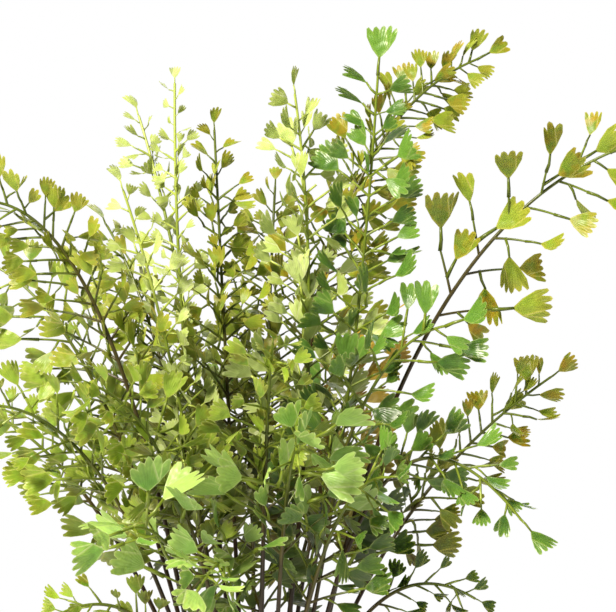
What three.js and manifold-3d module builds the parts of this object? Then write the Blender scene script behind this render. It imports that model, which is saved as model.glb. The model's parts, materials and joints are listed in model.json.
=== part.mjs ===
// A potted maidenhair fern: a plain clay pot, the soil in it, and fronds of small fan-shaped
// leaflets on thin, branching stems. Each frond grows from the soil on a dark, wiry stipe and
// turns green where its leafy part begins.
//
// Millimetres, +Z up. The origin is the middle of the pot's underside, and -Y is the front.
import * as THREE from "three";
import { mergeVertices } from "three/addons/utils/BufferGeometryUtils.js";
import Module from "manifold-3d";

// ---- Driving dimensions: the pot and its soil ----

const ROUND_SIDES = 32;
const POT_HEIGHT = 118;
const POT_FOOT_RADIUS = 44;
const POT_BODY_RADIUS = 59; // outside, just under the rim
const RIM_RADIUS = 66;
const RIM_HEIGHT = 27;
const RIM_STEP = 4.5; // how far the rim stands out of the body
const POT_FLOOR = 7;
const POT_INNER_FOOT_RADIUS = 38.5;
const POT_INNER_TOP_RADIUS = 59;
const POT_EDGE = 1.6; // chamfer of the foot and the lip
const DRAIN_HOLES = 3;
const DRAIN_RADIUS = 4.5;
const DRAIN_CIRCLE_RADIUS = 22;
const SEAT_GAP = 0.3; // between pieces that rest on or in each other
const SOIL_EDGE = 101;
const SOIL_MIDDLE = 106;
const SOIL_RINGS = [44, 24];
const SOIL_ROUGHNESS = 0.9;

// ---- Driving dimensions: stems ----

const FOOT_DEPTH = 78; // height of a stipe's foot, down in the soil
const AIR_HEIGHT = 113; // the first bend of a stipe is above the soil
const ROOT_INNER = 6; // the stipes stand in a clump between these two radii
const ROOT_OUTER = 29;
const BEND_DEPTH = 0.4; // how far back or forth a stem's bend lies, as a share of its tip's
const FULL_REACH = 180; // a frond that reaches this far out roots at the clump's edge
const STIPE_RADIUS = 1.6;
const NECK_RADIUS = 1.25; // where the stipe ends and the leafy part begins
const RACHIS_TIP_RADIUS = 0.6;
const BRANCH_RADIUS = 0.55;
const BRANCH_TIP_RADIUS = 0.5;
const STIPE_SIDES = 4;
const GREEN_STEM_SIDES = 3;
const STIPE_STEPS = 3; // between the first bend and the neck
const RACHIS_STEPS = 6;
const BRANCH_STEPS = 2;
const NODE_SPACING = 0.62; // along the leafy part of a frond, as a share of its leaflets' width
const BRANCH_SHARE = 0.84; // past this share of the leafy part, leaflets sit on the stem itself
const SHORTEST_BRANCH = 0.9; // as a share of the leaflets' width
const BRANCH_ANGLE = 50; // degrees from the stem
const BRANCH_SAG = 0.1; // of the branch's length
const LEAFLET_SPACING = 0.62; // along a branch, as a share of its leaflets' width

// ---- Driving dimensions: leaflets ----

const TEETH = 4;
const NOTCH_DEPTH = 0.24; // this and the next ones are shares of the leaflet's length or width
const FAN_HALF_WIDTH = 0.5;
const FAN_ROUNDING = 0.2; // how much shorter the outermost teeth are than the middle
const SHOULDER = [0.4, 0.38];
const LENGTH_TO_WIDTH = 1.1;
const STALK_SHARE = 0.5; // the stalk's length as a share of the leaflet's width
const STALK_HALF_WIDTH = 0.06;
const FOOT_SUNK = 0.5; // how far the stalk's foot runs past the middle of its stem
const BLADE_THICKNESS = 1.8; // at the blade's middle, thinning to its edge
const BLADE_MIDDLE = 0.5;
const CUP = 0.12; // the blade's sides rise by this share of its width
const END_SUNK = 1; // how far the foot of a stem's last leaflet is sunk into its end

// ---- Driving dimensions: the room that stems and leaflets leave each other ----

const STEM_ROOM = 1.2;
const LEAF_ROOM = 0.5;
const STEM_TRIES = 24;
const SPIN_TRIES = 8;

// One row for each frond. tip: where it ends. out and up: where the bend of its stem lies, as
// shares of the way from foot to tip, sideways and upwards. turn: how far the flat of the frond
// is turned from facing the front (or the back, for a frond that leans back), in degrees. bare:
// the share of the stem below the first branch. branch: the length of its longest side branch.
// leaf: a leaflet's usual width.
const FRONDS = [
  { tip: [210, -40, 446], out: 0.24, up: 0.84, turn: 15, bare: 0.53, branch: 38, leaf: 21, tone: "olive" },
  { tip: [73, -30, 492], out: 0.75, up: 0.42, turn: -20, bare: 0.28, branch: 38, leaf: 18, tone: "green" },
  { tip: [137, 60, 503], out: -0.15, up: 0.88, turn: 20, bare: 0.38, branch: 34, leaf: 14, tone: "olive" },
  { tip: [24, -20, 480], out: 2.4, up: 0.6, turn: 35, bare: 0.42, branch: 38, leaf: 15, tone: "pale" },
  { tip: [-51, 75, 488], out: 1.0, up: 0.52, turn: -30, bare: 0.38, branch: 18, leaf: 9, tone: "pale" },
  { tip: [-75, 105, 468], out: 0.37, up: 0.68, turn: 40, bare: 0.42, branch: 18, leaf: 11, tone: "pale" },
  { tip: [-77, -30, 423], out: 0.27, up: 0.6, turn: -35, bare: 0.32, branch: 26, leaf: 12, tone: "pale" },
  { tip: [-166, -50, 416], out: 0.38, up: 1.06, turn: -25, bare: 0.38, branch: 38, leaf: 14, tone: "olive" },
  { tip: [-172, 80, 378], out: 0.4, up: 0.9, turn: 20, bare: 0.34, branch: 40, leaf: 16, tone: "lime" },
  { tip: [-164, -60, 298], out: 0.4, up: 1.05, turn: -35, bare: 0.3, branch: 42, leaf: 16, tone: "lime" },
  { tip: [-162, 40, 286], out: 0.4, up: 0.8, turn: 15, bare: 0.56, branch: 24, leaf: 13, tone: "lime" },
  { tip: [-116, -70, 176], out: 0.42, up: 1.3, turn: -40, bare: 0.42, branch: 14, leaf: 11, tone: "lime" },
  { tip: [182, 60, 306], out: 0.24, up: 0.66, turn: 30, bare: 0.44, branch: 24, leaf: 15, tone: "olive" },
  { tip: [156, -65, 232], out: 0.3, up: 1.75, turn: 35, bare: 0.46, branch: 22, leaf: 15, tone: "green" },
  { tip: [112, -75, 346], out: 0.25, up: 0.95, turn: 10, bare: 0.3, branch: 28, leaf: 19, tone: "green" },
  { tip: [134, 25, 173], out: 0.4, up: 1.45, turn: -25, bare: 0.46, branch: 14, leaf: 11, tone: "green" },
  { tip: [12, -118, 338], out: 0.45, up: 0.85, turn: 0, bare: 0.4, branch: 36, leaf: 13, tone: "lime" },
  { tip: [28, -140, 284], out: 0.4, up: 1.0, turn: 20, bare: 0.34, branch: 42, leaf: 22, tone: "fresh" },
  { tip: [-74, -122, 232], out: 0.4, up: 1.1, turn: -20, bare: 0.34, branch: 34, leaf: 24, tone: "fresh" },
  { tip: [-92, -100, 314], out: 0.35, up: 0.9, turn: 10, bare: 0.28, branch: 44, leaf: 16, tone: "lime" },
  { tip: [-28, -138, 204], out: 0.4, up: 1.3, turn: 0, bare: 0.26, branch: 40, leaf: 18, tone: "fresh" },
  { tip: [78, -112, 262], out: 0.4, up: 1.0, turn: -10, bare: 0.28, branch: 30, leaf: 17, tone: "green" },
  { tip: [-26, 60, 459], out: 0.6, up: 0.6, turn: 25, bare: 0.34, branch: 42, leaf: 13, tone: "olive" },
  { tip: [11, 105, 423], out: 0.4, up: 0.7, turn: 0, bare: 0.3, branch: 44, leaf: 13, tone: "olive" },
  { tip: [80, 115, 336], out: 0.4, up: 0.85, turn: -35, bare: 0.3, branch: 36, leaf: 14, tone: "ochre" },
  { tip: [74, 140, 258], out: 0.4, up: 1.1, turn: -15, bare: 0.28, branch: 34, leaf: 14, tone: "ochre" },
  { tip: [-96, 120, 398], out: 0.35, up: 0.75, turn: 35, bare: 0.34, branch: 42, leaf: 14, tone: "olive" },
  { tip: [-72, 145, 262], out: 0.4, up: 1.1, turn: 20, bare: 0.28, branch: 40, leaf: 14, tone: "green" },
  { tip: [-6, 160, 312], out: 0.4, up: 0.95, turn: 0, bare: 0.28, branch: 44, leaf: 14, tone: "green" },
];

const FROND_COLOURS = {
  pale: 0xb5c458,
  lime: 0x8aa034,
  fresh: 0x82a63f,
  green: 0x587430,
  olive: 0x918f2e,
  ochre: 0x9f7c20,
};

const wasm = await Module();
wasm.setup();

// ---- Solids and meshes ----

// A closed geometry as a solid that can be joined and cut.
function solidOf(geometry) {
  geometry.deleteAttribute("normal");
  geometry.deleteAttribute("uv");
  const merged = mergeVertices(geometry, 1e-4);
  return new wasm.Manifold(
    new wasm.Mesh({
      numProp: 3,
      vertProperties: merged.attributes.position.array,
      triVerts: new Uint32Array(merged.index.array),
    }),
  );
}

// A solid as a named mesh.
function meshOf(name, solid, material) {
  const { vertProperties, triVerts } = solid.getMesh();
  const geometry = new THREE.BufferGeometry();
  geometry.setAttribute("position", new THREE.BufferAttribute(vertProperties, 3));
  geometry.setIndex(new THREE.BufferAttribute(triVerts, 1));
  geometry.computeVertexNormals();
  const mesh = new THREE.Mesh(geometry, material);
  mesh.name = name;
  return mesh;
}

function joined(solids) {
  return solids.reduce((whole, piece) => whole.add(piece));
}

// A solid of revolution about Z from [radius, height] pairs that start and end on the axis.
function turned(profile) {
  const points = profile.map(([radius, height]) => new THREE.Vector2(radius, height));
  return new THREE.LatheGeometry(points, ROUND_SIDES).rotateX(Math.PI / 2);
}

// ---- Pot and soil ----

// The pot's inner wall is a straight cone from its floor to its lip.
function innerRadius(height) {
  const share = (height - POT_FLOOR) / (POT_HEIGHT - POT_FLOOR);
  return POT_INNER_FOOT_RADIUS + share * (POT_INNER_TOP_RADIUS - POT_INNER_FOOT_RADIUS);
}

function makePot() {
  const rimFoot = POT_HEIGHT - RIM_HEIGHT;
  const body = solidOf(
    turned([
      [0, 0],
      [POT_FOOT_RADIUS - POT_EDGE, 0],
      [POT_FOOT_RADIUS, POT_EDGE],
      [POT_BODY_RADIUS, rimFoot],
      [POT_BODY_RADIUS + RIM_STEP - POT_EDGE, rimFoot],
      [POT_BODY_RADIUS + RIM_STEP, rimFoot + POT_EDGE],
      [RIM_RADIUS, POT_HEIGHT - POT_EDGE],
      [RIM_RADIUS - POT_EDGE, POT_HEIGHT],
      [POT_INNER_TOP_RADIUS + POT_EDGE, POT_HEIGHT],
      [innerRadius(POT_HEIGHT - POT_EDGE), POT_HEIGHT - POT_EDGE],
      [POT_INNER_FOOT_RADIUS, POT_FLOOR],
      [0, POT_FLOOR],
    ]),
  );
  const drill = new THREE.CylinderGeometry(DRAIN_RADIUS, DRAIN_RADIUS, 3 * POT_FLOOR, 12);
  drill.rotateX(Math.PI / 2);
  const holes = [];
  for (let i = 0; i < DRAIN_HOLES; i++) {
    const angle = (i * 2 * Math.PI) / DRAIN_HOLES;
    const hole = drill.clone();
    hole.translate(DRAIN_CIRCLE_RADIUS * Math.cos(angle), DRAIN_CIRCLE_RADIUS * Math.sin(angle), 0);
    holes.push(solidOf(hole));
  }
  return body.subtract(joined(holes));
}

// The soil fills the pot to a slightly mounded, uneven top.
function makeSoil() {
  const floor = POT_FLOOR + SEAT_GAP;
  const rise = SOIL_MIDDLE - SOIL_EDGE;
  const edgeRadius = innerRadius(SOIL_EDGE) - SEAT_GAP;
  const top = SOIL_RINGS.map((radius) => [radius, SOIL_EDGE + rise * (1 - (radius / edgeRadius) ** 2)]);
  const geometry = turned([
    [0, floor],
    [innerRadius(floor) - SEAT_GAP, floor],
    [edgeRadius, SOIL_EDGE],
    ...top,
    [0, SOIL_MIDDLE],
  ]);
  const position = geometry.attributes.position;
  for (let i = 0; i < position.count; i++) {
    const [x, y, z] = [position.getX(i), position.getY(i), position.getZ(i)];
    const inside = Math.hypot(x, y) < edgeRadius - 1;
    if (z > SOIL_EDGE && inside) {
      position.setZ(i, z + SOIL_ROUGHNESS * Math.sin(0.29 * x + 1) * Math.cos(0.37 * y));
    }
  }
  return solidOf(geometry);
}

// ---- The rule that spreads sizes and angles ----

// A share from 0 to 1 for the nth piece: steps by an irrational number never repeat or bunch.
const STEPS = { golden: (Math.sqrt(5) - 1) / 2, two: Math.SQRT2 - 1, three: Math.sqrt(3) - 1 };

function spread(n, step) {
  return (n * STEPS[step]) % 1;
}

const radians = THREE.MathUtils.degToRad;

// v turned about a unit axis by an angle in degrees.
function turnedAbout(v, axis, degrees) {
  return v.clone().applyAxisAngle(axis, radians(degrees));
}

// The unit part of v that is square to a unit direction.
function squareTo(direction, v) {
  return v.clone().addScaledVector(direction, -v.dot(direction)).normalize();
}

// Step k of 0, +1, -1, +2, -2 and so on.
function toAndFro(k) {
  return Math.ceil(k / 2) * (k % 2 ? 1 : -1);
}

// ---- Room: every stem and leaflet is also kept as a few rods with round ends ----

const rods = [];

function rod(owner, from, to, radius) {
  return { owner, from, to, radius };
}

// The least distance between the middle lines of two rods.
function distance(a, b) {
  const d1 = a.to.clone().sub(a.from);
  const d2 = b.to.clone().sub(b.from);
  const between = a.from.clone().sub(b.from);
  const [aa, bb, ab] = [d1.dot(d1), d2.dot(d2), d1.dot(d2)];
  const [c, f] = [d1.dot(between), d2.dot(between)];
  const across = aa * bb - ab * ab;
  let s = across > 1e-9 ? THREE.MathUtils.clamp((ab * f - c * bb) / across, 0, 1) : 0;
  const t = THREE.MathUtils.clamp((ab * s + f) / bb, 0, 1);
  s = THREE.MathUtils.clamp((ab * t - c) / aa, 0, 1);
  return between.addScaledVector(d1, s).addScaledVector(d2, -t).length();
}

function isClear(candidate, room) {
  return candidate.every((a) =>
    rods.every((b) => a.owner === b.owner || distance(a, b) > a.radius + b.radius + room),
  );
}

// Keeps the first of several shapes that has room, and returns it, or null.
function settle(shapes, room) {
  const found = shapes.find((shape) => isClear(shape.rods, room));
  if (!found) return null;
  rods.push(...found.rods);
  return found;
}

// ---- Stems ----

// The points of a curve between two shares of it.
function pointsOf(curve, from, to, steps) {
  return Array.from({ length: steps + 1 }, (_, i) =>
    curve.getPoint(THREE.MathUtils.lerp(from, to, i / steps)),
  );
}

// The spot at a share of a stem's row of points, and which way the stem runs there.
function spotOn(points, share) {
  const steps = points.length - 1;
  const k = Math.min(Math.floor(share * steps), steps - 1);
  return {
    place: points[k].clone().lerp(points[k + 1], share * steps - k),
    stem: points[k + 1].clone().sub(points[k]).normalize(),
  };
}

// A tapering stem with few sides along a row of points.
function stemSolid(points, startRadius, endRadius, sides) {
  const steps = points.length - 1;
  const corners = Array.from({ length: sides }, (_, i) => {
    const angle = (i * 2 * Math.PI) / sides;
    return new THREE.Vector2(Math.cos(angle), Math.sin(angle));
  });
  const options = { depth: 1, steps, bevelEnabled: false };
  const geometry = new THREE.ExtrudeGeometry(new THREE.Shape(corners), options);
  const position = geometry.attributes.position;
  const reference = new THREE.Vector3(0.31, 0.95, 0.05);
  const rings = points.map((point, k) => {
    const before = points[Math.max(k - 1, 0)];
    const after = points[Math.min(k + 1, steps)];
    const along = after.clone().sub(before).normalize();
    const across = squareTo(along, reference);
    return { point, across, other: along.clone().cross(across) };
  });
  for (let i = 0; i < position.count; i++) {
    const share = position.getZ(i);
    const { point, across, other } = rings[Math.round(share * steps)];
    const radius = THREE.MathUtils.lerp(startRadius, endRadius, share);
    const place = point.clone();
    place.addScaledVector(across, radius * position.getX(i));
    place.addScaledVector(other, radius * position.getY(i));
    position.setXYZ(i, place.x, place.y, place.z);
  }
  return solidOf(geometry);
}

function stemRods(owner, points, startRadius, endRadius) {
  const steps = points.length - 1;
  return points
    .slice(1)
    .map((point, k) =>
      rod(owner, points[k], point, THREE.MathUtils.lerp(startRadius, endRadius, (k + 0.5) / steps)),
    );
}

// The kth way to run a frond's stem: its foot moves round the clump and its bend sways.
function stemRoute(frond, owner, k) {
  const tip = new THREE.Vector3(...frond.tip);
  const reach = Math.hypot(tip.x, tip.y);
  const azimuth = Math.atan2(tip.y, tip.x) + radians(13 * toAndFro(k));
  const rootRadius = THREE.MathUtils.lerp(ROOT_INNER, ROOT_OUTER, Math.min(1, reach / FULL_REACH));
  const foot = new THREE.Vector3(
    rootRadius * Math.cos(azimuth),
    rootRadius * Math.sin(azimuth),
    FOOT_DEPTH,
  );
  const bend = new THREE.Vector3(
    THREE.MathUtils.lerp(foot.x, tip.x, frond.out),
    THREE.MathUtils.lerp(foot.y, tip.y, BEND_DEPTH) + 5 * toAndFro(k),
    THREE.MathUtils.lerp(foot.z, tip.z, frond.up),
  );
  const curve = new THREE.QuadraticBezierCurve3(foot, bend, tip);
  let air = 0;
  while (curve.getPoint(air).z < AIR_HEIGHT) air += 0.01;
  const stipe = [foot, ...pointsOf(curve, air, frond.bare, STIPE_STEPS)];
  const rachis = pointsOf(curve, frond.bare, 1, RACHIS_STEPS);
  return {
    stipe,
    rachis,
    rods: [
      ...stemRods(owner, stipe, STIPE_RADIUS, NECK_RADIUS),
      ...stemRods(owner, rachis, NECK_RADIUS, RACHIS_TIP_RADIUS),
    ],
  };
}

// ---- Leaflets ----

// A leaflet's edge, from its left shoulder round the teeth to its right shoulder and down to the
// top of its stalk, as [across, along] in shares of its width and length.
function fanEdge() {
  const edge = [[-SHOULDER[0], SHOULDER[1]]];
  const last = 2 * TEETH - 2;
  for (let i = 0; i <= last; i++) {
    const across = (2 * i) / last - 1;
    const depth = i % 2 ? NOTCH_DEPTH : 0;
    edge.push([FAN_HALF_WIDTH * across, 1 - FAN_ROUNDING * across ** 2 - depth]);
  }
  edge.push([SHOULDER[0], SHOULDER[1]], [STALK_HALF_WIDTH, 0], [-STALK_HALF_WIDTH, 0]);
  return edge;
}

const EDGE = fanEdge();

// The leaflet's outline in millimetres, with its stalk narrowing to one point at the foot.
function leafletOutline(width) {
  const stalk = width * STALK_SHARE;
  const outline = EDGE.map(([across, along]) => [
    across * width,
    stalk + along * width * LENGTH_TO_WIDTH,
  ]);
  outline.splice(-1, 0, [0, -FOOT_SUNK]);
  return outline;
}

// A thin lens with a toothed, fan-shaped edge and a stalk. A sphere of one ring becomes it: the
// ring is laid along the edge, and the two poles become the blade's faces.
function leafletSolid({ foot, along, normal, width }) {
  const outline = leafletOutline(width);
  const middle = width * (STALK_SHARE + BLADE_MIDDLE * LENGTH_TO_WIDTH);
  const geometry = new THREE.SphereGeometry(1, outline.length, 2);
  const { position, uv } = geometry.attributes;
  for (let i = 0; i < position.count; i++) {
    const pole = Math.round(position.getY(i));
    if (pole) {
      position.setXYZ(i, 0, (pole * BLADE_THICKNESS) / 2, middle);
      continue;
    }
    const [x, z] = outline[Math.round(uv.getX(i) * outline.length) % outline.length];
    position.setXYZ(i, x, CUP * width * (x / (FAN_HALF_WIDTH * width)) ** 2, z);
  }
  const across = normal.clone().cross(along);
  geometry.applyMatrix4(new THREE.Matrix4().makeBasis(across, normal, along).setPosition(foot));
  return solidOf(geometry);
}

// The kth way to hold a leaflet: spun on its stalk, then bent back.
function leafletPose(owner, foot, along, normal, width, k) {
  const bent = turnedAbout(along, squareTo(along, normal).cross(along), k < 4 ? 0 : -35);
  const face = turnedAbout(squareTo(bent, normal), bent, 45 * toAndFro(k % 4));
  const across = face.clone().cross(bent);
  const at = (share, side) =>
    foot
      .clone()
      .addScaledVector(bent, width * (STALK_SHARE + share * LENGTH_TO_WIDTH))
      .addScaledVector(across, side * width);
  return {
    foot,
    along: bent,
    normal: face,
    width,
    rods: [
      rod(owner, at(-0.3, 0), at(0.2, 0), 0.08 * width),
      rod(owner, at(0.2, 0), at(0.9, 0), 0.12 * width),
      rod(owner, at(0.36, -0.32), at(0.36, 0.32), 0.12 * width),
      rod(owner, at(0.74, -0.36), at(0.74, 0.36), 0.17 * width),
    ],
  };
}

let leafletCount = 0;

// A leaflet on a stem. stem: the stem's direction. side: +1, -1, or 0 at the stem's end.
function placeLeaflet(owner, place, stem, flat, side, width) {
  const n = ++leafletCount;
  const foot = place.clone().addScaledVector(stem, side ? 0 : -END_SUNK);
  const size = width * (0.75 + 0.45 * spread(n, "golden"));
  const lean = 35 + 35 * spread(n, "two");
  const along = turnedAbout(stem, flat, -side * lean);
  const outward = new THREE.Vector3(foot.x, foot.y, 0).normalize();
  const face = flat
    .clone()
    .addScaledVector(outward, 0.4)
    .add(new THREE.Vector3(0, 0, 0.35));
  const spin = (side ? 190 : 60) * (spread(n, "three") - 0.5);
  const spun = turnedAbout(squareTo(along, face), along, spin);
  const poses = Array.from({ length: SPIN_TRIES }, (_, k) =>
    leafletPose(owner, foot, along, spun, size, k),
  );
  return settle(poses, LEAF_ROOM);
}

// ---- Fronds ----

// Which way the flat of a frond faces.
function frondFacing(frond) {
  const front = frond.tip[1] > 60 ? 1 : -1;
  const facing = new THREE.Vector3(0, front, 0.25).normalize();
  return turnedAbout(facing, new THREE.Vector3(0, 0, 1), frond.turn);
}

// The points along a frond's leafy part where something grows: its branches first, which get
// shorter up the stem, then single leaflets. Every fourth is built here.
function frondNodes(frond, route) {
  const chords = route.rachis.slice(1).map((point, i) => point.distanceTo(route.rachis[i]));
  const leafyLength = chords.reduce((sum, chord) => sum + chord, 0);
  const count = Math.round(leafyLength / (NODE_SPACING * frond.leaf));
  const shortest = SHORTEST_BRANCH * frond.leaf;
  const nodes = [];
  for (let j = 1; j < count; j += 4) {
    const share = j / count;
    const { place, stem } = spotOn(route.rachis, share);
    nodes.push({
      place,
      stem,
      flat: squareTo(stem, frondFacing(frond)),
      side: j % 2 ? 1 : -1,
      leaf: frond.leaf * (1.1 - 0.2 * share),
      swing: 90 * (spread(j, "golden") - 0.5),
      branch: share < BRANCH_SHARE ? Math.max(frond.branch * (1 - share), shortest) : 0,
    });
  }
  return nodes;
}

// A side branch with its leaflets, or null where there is no room for it. Here too some are left
// out, counting back from its end.
function placeBranch(owner, node) {
  const routes = Array.from({ length: SPIN_TRIES }, (_, k) => {
    const swing = node.swing + 24 * toAndFro(k);
    const flat = turnedAbout(node.flat, node.stem, swing);
    const along = turnedAbout(node.stem, flat, -node.side * BRANCH_ANGLE);
    const end = node.place.clone().addScaledVector(along, node.branch);
    end.z -= BRANCH_SAG * node.branch;
    const knee = node.place.clone().addScaledVector(along, 0.5 * node.branch);
    const curve = new THREE.QuadraticBezierCurve3(node.place, knee, end);
    const points = pointsOf(curve, 0, 1, BRANCH_STEPS);
    return { flat, points, rods: stemRods(owner, points, BRANCH_RADIUS, BRANCH_TIP_RADIUS) };
  });
  const route = settle(routes, STEM_ROOM);
  if (!route) return null;
  const solids = [stemSolid(route.points, BRANCH_RADIUS, BRANCH_TIP_RADIUS, GREEN_STEM_SIDES)];
  const count = Math.round(node.branch / (LEAFLET_SPACING * node.leaf));
  for (let i = 1; i <= count; i++) {
    if ((count - i) % 3 === 1) continue;
    const last = i === count;
    const { place, stem } = spotOn(route.points, last ? 1 : (i - 0.3) / count);
    const side = last ? 0 : i % 2 ? 1 : -1;
    const flat = squareTo(stem, route.flat);
    const leaflet = placeLeaflet(owner, place, stem, flat, side, node.leaf);
    if (leaflet) solids.push(leafletSolid(leaflet));
  }
  return solids;
}

// The leafy part of a frond: its green stem with everything that grows on it.
function makeFrond(frond, owner, route) {
  const points = route.rachis.map((point) => point.clone());
  points[0].addScaledVector(spotOn(points, 0).stem, SEAT_GAP);
  const solids = [stemSolid(points, NECK_RADIUS, RACHIS_TIP_RADIUS, GREEN_STEM_SIDES)];
  for (const node of frondNodes(frond, route)) {
    if (node.branch) {
      solids.push(...(placeBranch(owner, node) ?? []));
      continue;
    }
    const leaflet = placeLeaflet(owner, node.place, node.stem, node.flat, node.side, node.leaf);
    if (leaflet) solids.push(leafletSolid(leaflet));
  }
  const { place, stem } = spotOn(route.rachis, 1);
  const flat = squareTo(stem, frondFacing(frond));
  const last = placeLeaflet(owner, place, stem, flat, 0, frond.leaf);
  if (last) solids.push(leafletSolid(last));
  return joined(solids);
}

// The dark stipe from its foot in the soil up to the leafy part.
function makeStipe(route) {
  return stemSolid(route.stipe, STIPE_RADIUS, NECK_RADIUS, STIPE_SIDES);
}

// The plain hole in the soil that a stipe stands in.
function makeHole(route) {
  const [foot, air] = route.stipe;
  const along = air.clone().sub(foot).normalize();
  const bottom = foot.clone().addScaledVector(along, -SEAT_GAP);
  const radius = STIPE_RADIUS + 1.5 * SEAT_GAP;
  return stemSolid([bottom, air], radius, radius, STIPE_SIDES);
}

// ---- Materials ----

const clay = new THREE.MeshStandardMaterial({ color: 0xb5673f, roughness: 0.85, metalness: 0 });
const earth = new THREE.MeshStandardMaterial({ color: 0x3a2a1c, roughness: 1, metalness: 0 });
const darkStem = new THREE.MeshStandardMaterial({ color: 0x33231c, roughness: 0.4, metalness: 0 });

function leafMaterial(tone) {
  return new THREE.MeshStandardMaterial({
    color: FROND_COLOURS[tone],
    roughness: 0.45,
    metalness: 0,
    flatShading: true,
  });
}

// ---- The plant in its pot ----

const fern = new THREE.Group();
const routes = FRONDS.map((frond, i) => {
  const ways = Array.from({ length: STEM_TRIES }, (_, k) => stemRoute(frond, i, k));
  const route = settle(ways, STEM_ROOM);
  if (!route) throw new Error("no room for the stem of frond " + (i + 1));
  return route;
});

fern.add(meshOf("pot", makePot(), clay));
fern.add(meshOf("soil", makeSoil().subtract(joined(routes.map(makeHole))), earth));
FRONDS.forEach((frond, i) => {
  const number = String(i + 1).padStart(2, "0");
  fern.add(meshOf("stipe_" + number, makeStipe(routes[i]), darkStem));
  fern.add(meshOf("frond_" + number, makeFrond(frond, i, routes[i]), leafMaterial(frond.tone)));
});

export default fern;
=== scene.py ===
# %% [markdown]
# # A potted maidenhair fern
#
# The plant is 29 fronds of small fan-shaped leaflets on thin stems, in a clay pot of soil. The
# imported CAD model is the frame: it holds every frond's stem and about a seventh of its leaflets.
# This script grows the same plant by the same rule, so that each leaflet of the frame has a
# finer one in its place, and then grows the leaflets that the frame leaves out.

import json
import math
from functools import partial

import bmesh
import bpy
import numpy as np
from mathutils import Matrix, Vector, noise

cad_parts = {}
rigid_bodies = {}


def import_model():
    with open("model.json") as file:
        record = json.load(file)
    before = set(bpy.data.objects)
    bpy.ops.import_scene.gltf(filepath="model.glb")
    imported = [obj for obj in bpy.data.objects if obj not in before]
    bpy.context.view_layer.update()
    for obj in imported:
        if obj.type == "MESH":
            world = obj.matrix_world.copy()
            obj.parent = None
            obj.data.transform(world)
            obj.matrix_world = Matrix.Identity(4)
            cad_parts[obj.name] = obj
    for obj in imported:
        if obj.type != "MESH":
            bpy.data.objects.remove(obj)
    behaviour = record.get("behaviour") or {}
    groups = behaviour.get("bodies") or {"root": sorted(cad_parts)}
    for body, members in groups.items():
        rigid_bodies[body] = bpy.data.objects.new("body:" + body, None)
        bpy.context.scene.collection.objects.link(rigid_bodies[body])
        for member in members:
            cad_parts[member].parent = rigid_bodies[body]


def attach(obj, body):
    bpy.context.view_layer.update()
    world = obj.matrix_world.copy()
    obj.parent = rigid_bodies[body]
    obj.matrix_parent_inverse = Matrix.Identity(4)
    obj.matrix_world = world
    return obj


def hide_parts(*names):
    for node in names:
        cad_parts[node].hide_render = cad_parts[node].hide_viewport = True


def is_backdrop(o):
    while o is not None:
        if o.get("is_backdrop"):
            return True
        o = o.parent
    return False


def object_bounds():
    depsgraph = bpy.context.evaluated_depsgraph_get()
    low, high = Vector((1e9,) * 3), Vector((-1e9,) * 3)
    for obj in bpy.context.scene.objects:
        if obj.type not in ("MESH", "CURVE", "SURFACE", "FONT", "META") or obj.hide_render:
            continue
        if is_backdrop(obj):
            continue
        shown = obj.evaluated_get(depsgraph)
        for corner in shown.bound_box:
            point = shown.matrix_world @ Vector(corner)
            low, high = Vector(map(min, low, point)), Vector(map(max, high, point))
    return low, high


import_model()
cad_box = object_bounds()
MM = 0.001
print("the frame reaches from", cad_box[0], "to", cad_box[1])

# %% [markdown]
# The camera looks at the leaves from the front, a little from above, through a long lens. A
# long lens from about two metres away keeps near and far leaflets about the same size, as they
# are in a product picture. Its target is the middle of the picture, and its lens follows from
# how wide the picture is there.

# %% Camera
CAMERA_TARGET = Vector((0.0318, 0.0, 0.3534))
CAMERA_DISTANCE = 1.9
CAMERA_ELEVATION = 3
PICTURE_WIDTH = 0.3696


def new_object(name, data):
    """An object with this data, in the scene."""
    made = bpy.data.objects.new(name, data)
    bpy.context.scene.collection.objects.link(made)
    return made


def aimed(direction):
    """The turn that points a camera or a lamp this way."""
    return direction.to_track_quat("-Z", "Y").to_euler()


elevation = math.radians(CAMERA_ELEVATION)
towards_camera = Vector((0, -math.cos(elevation), math.sin(elevation)))
camera_data = bpy.data.cameras.new("camera")
camera_data.sensor_width = 36
camera_data.lens = camera_data.sensor_width * CAMERA_DISTANCE / PICTURE_WIDTH
camera = new_object("camera", camera_data)
camera.location = CAMERA_TARGET + CAMERA_DISTANCE * towards_camera
camera.rotation_euler = aimed(-towards_camera)
bpy.context.scene.camera = camera
print("lens", round(camera_data.lens), "mm")

# %% [markdown]
# Colours are written as the hex codes that a paint program shows. Blender reckons with linear
# light, so one function turns a code into linear numbers. Every material and every Geometry
# Nodes tree below is built in the script, with one small function that adds a node, sets it up
# and links it. That reads like a list of steps, and it gives the same tree on each run.

# %% Colours and nodes


def colour(code):
    """A hex code, such as "8dc152", as linear red, green, blue and alpha."""
    shares = [int(code[i : i + 2], 16) / 255 for i in (0, 2, 4)]
    linear = [s / 12.92 if s <= 0.04045 else ((s + 0.055) / 1.055) ** 2.4 for s in shares]
    return (*linear, 1.0)


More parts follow.
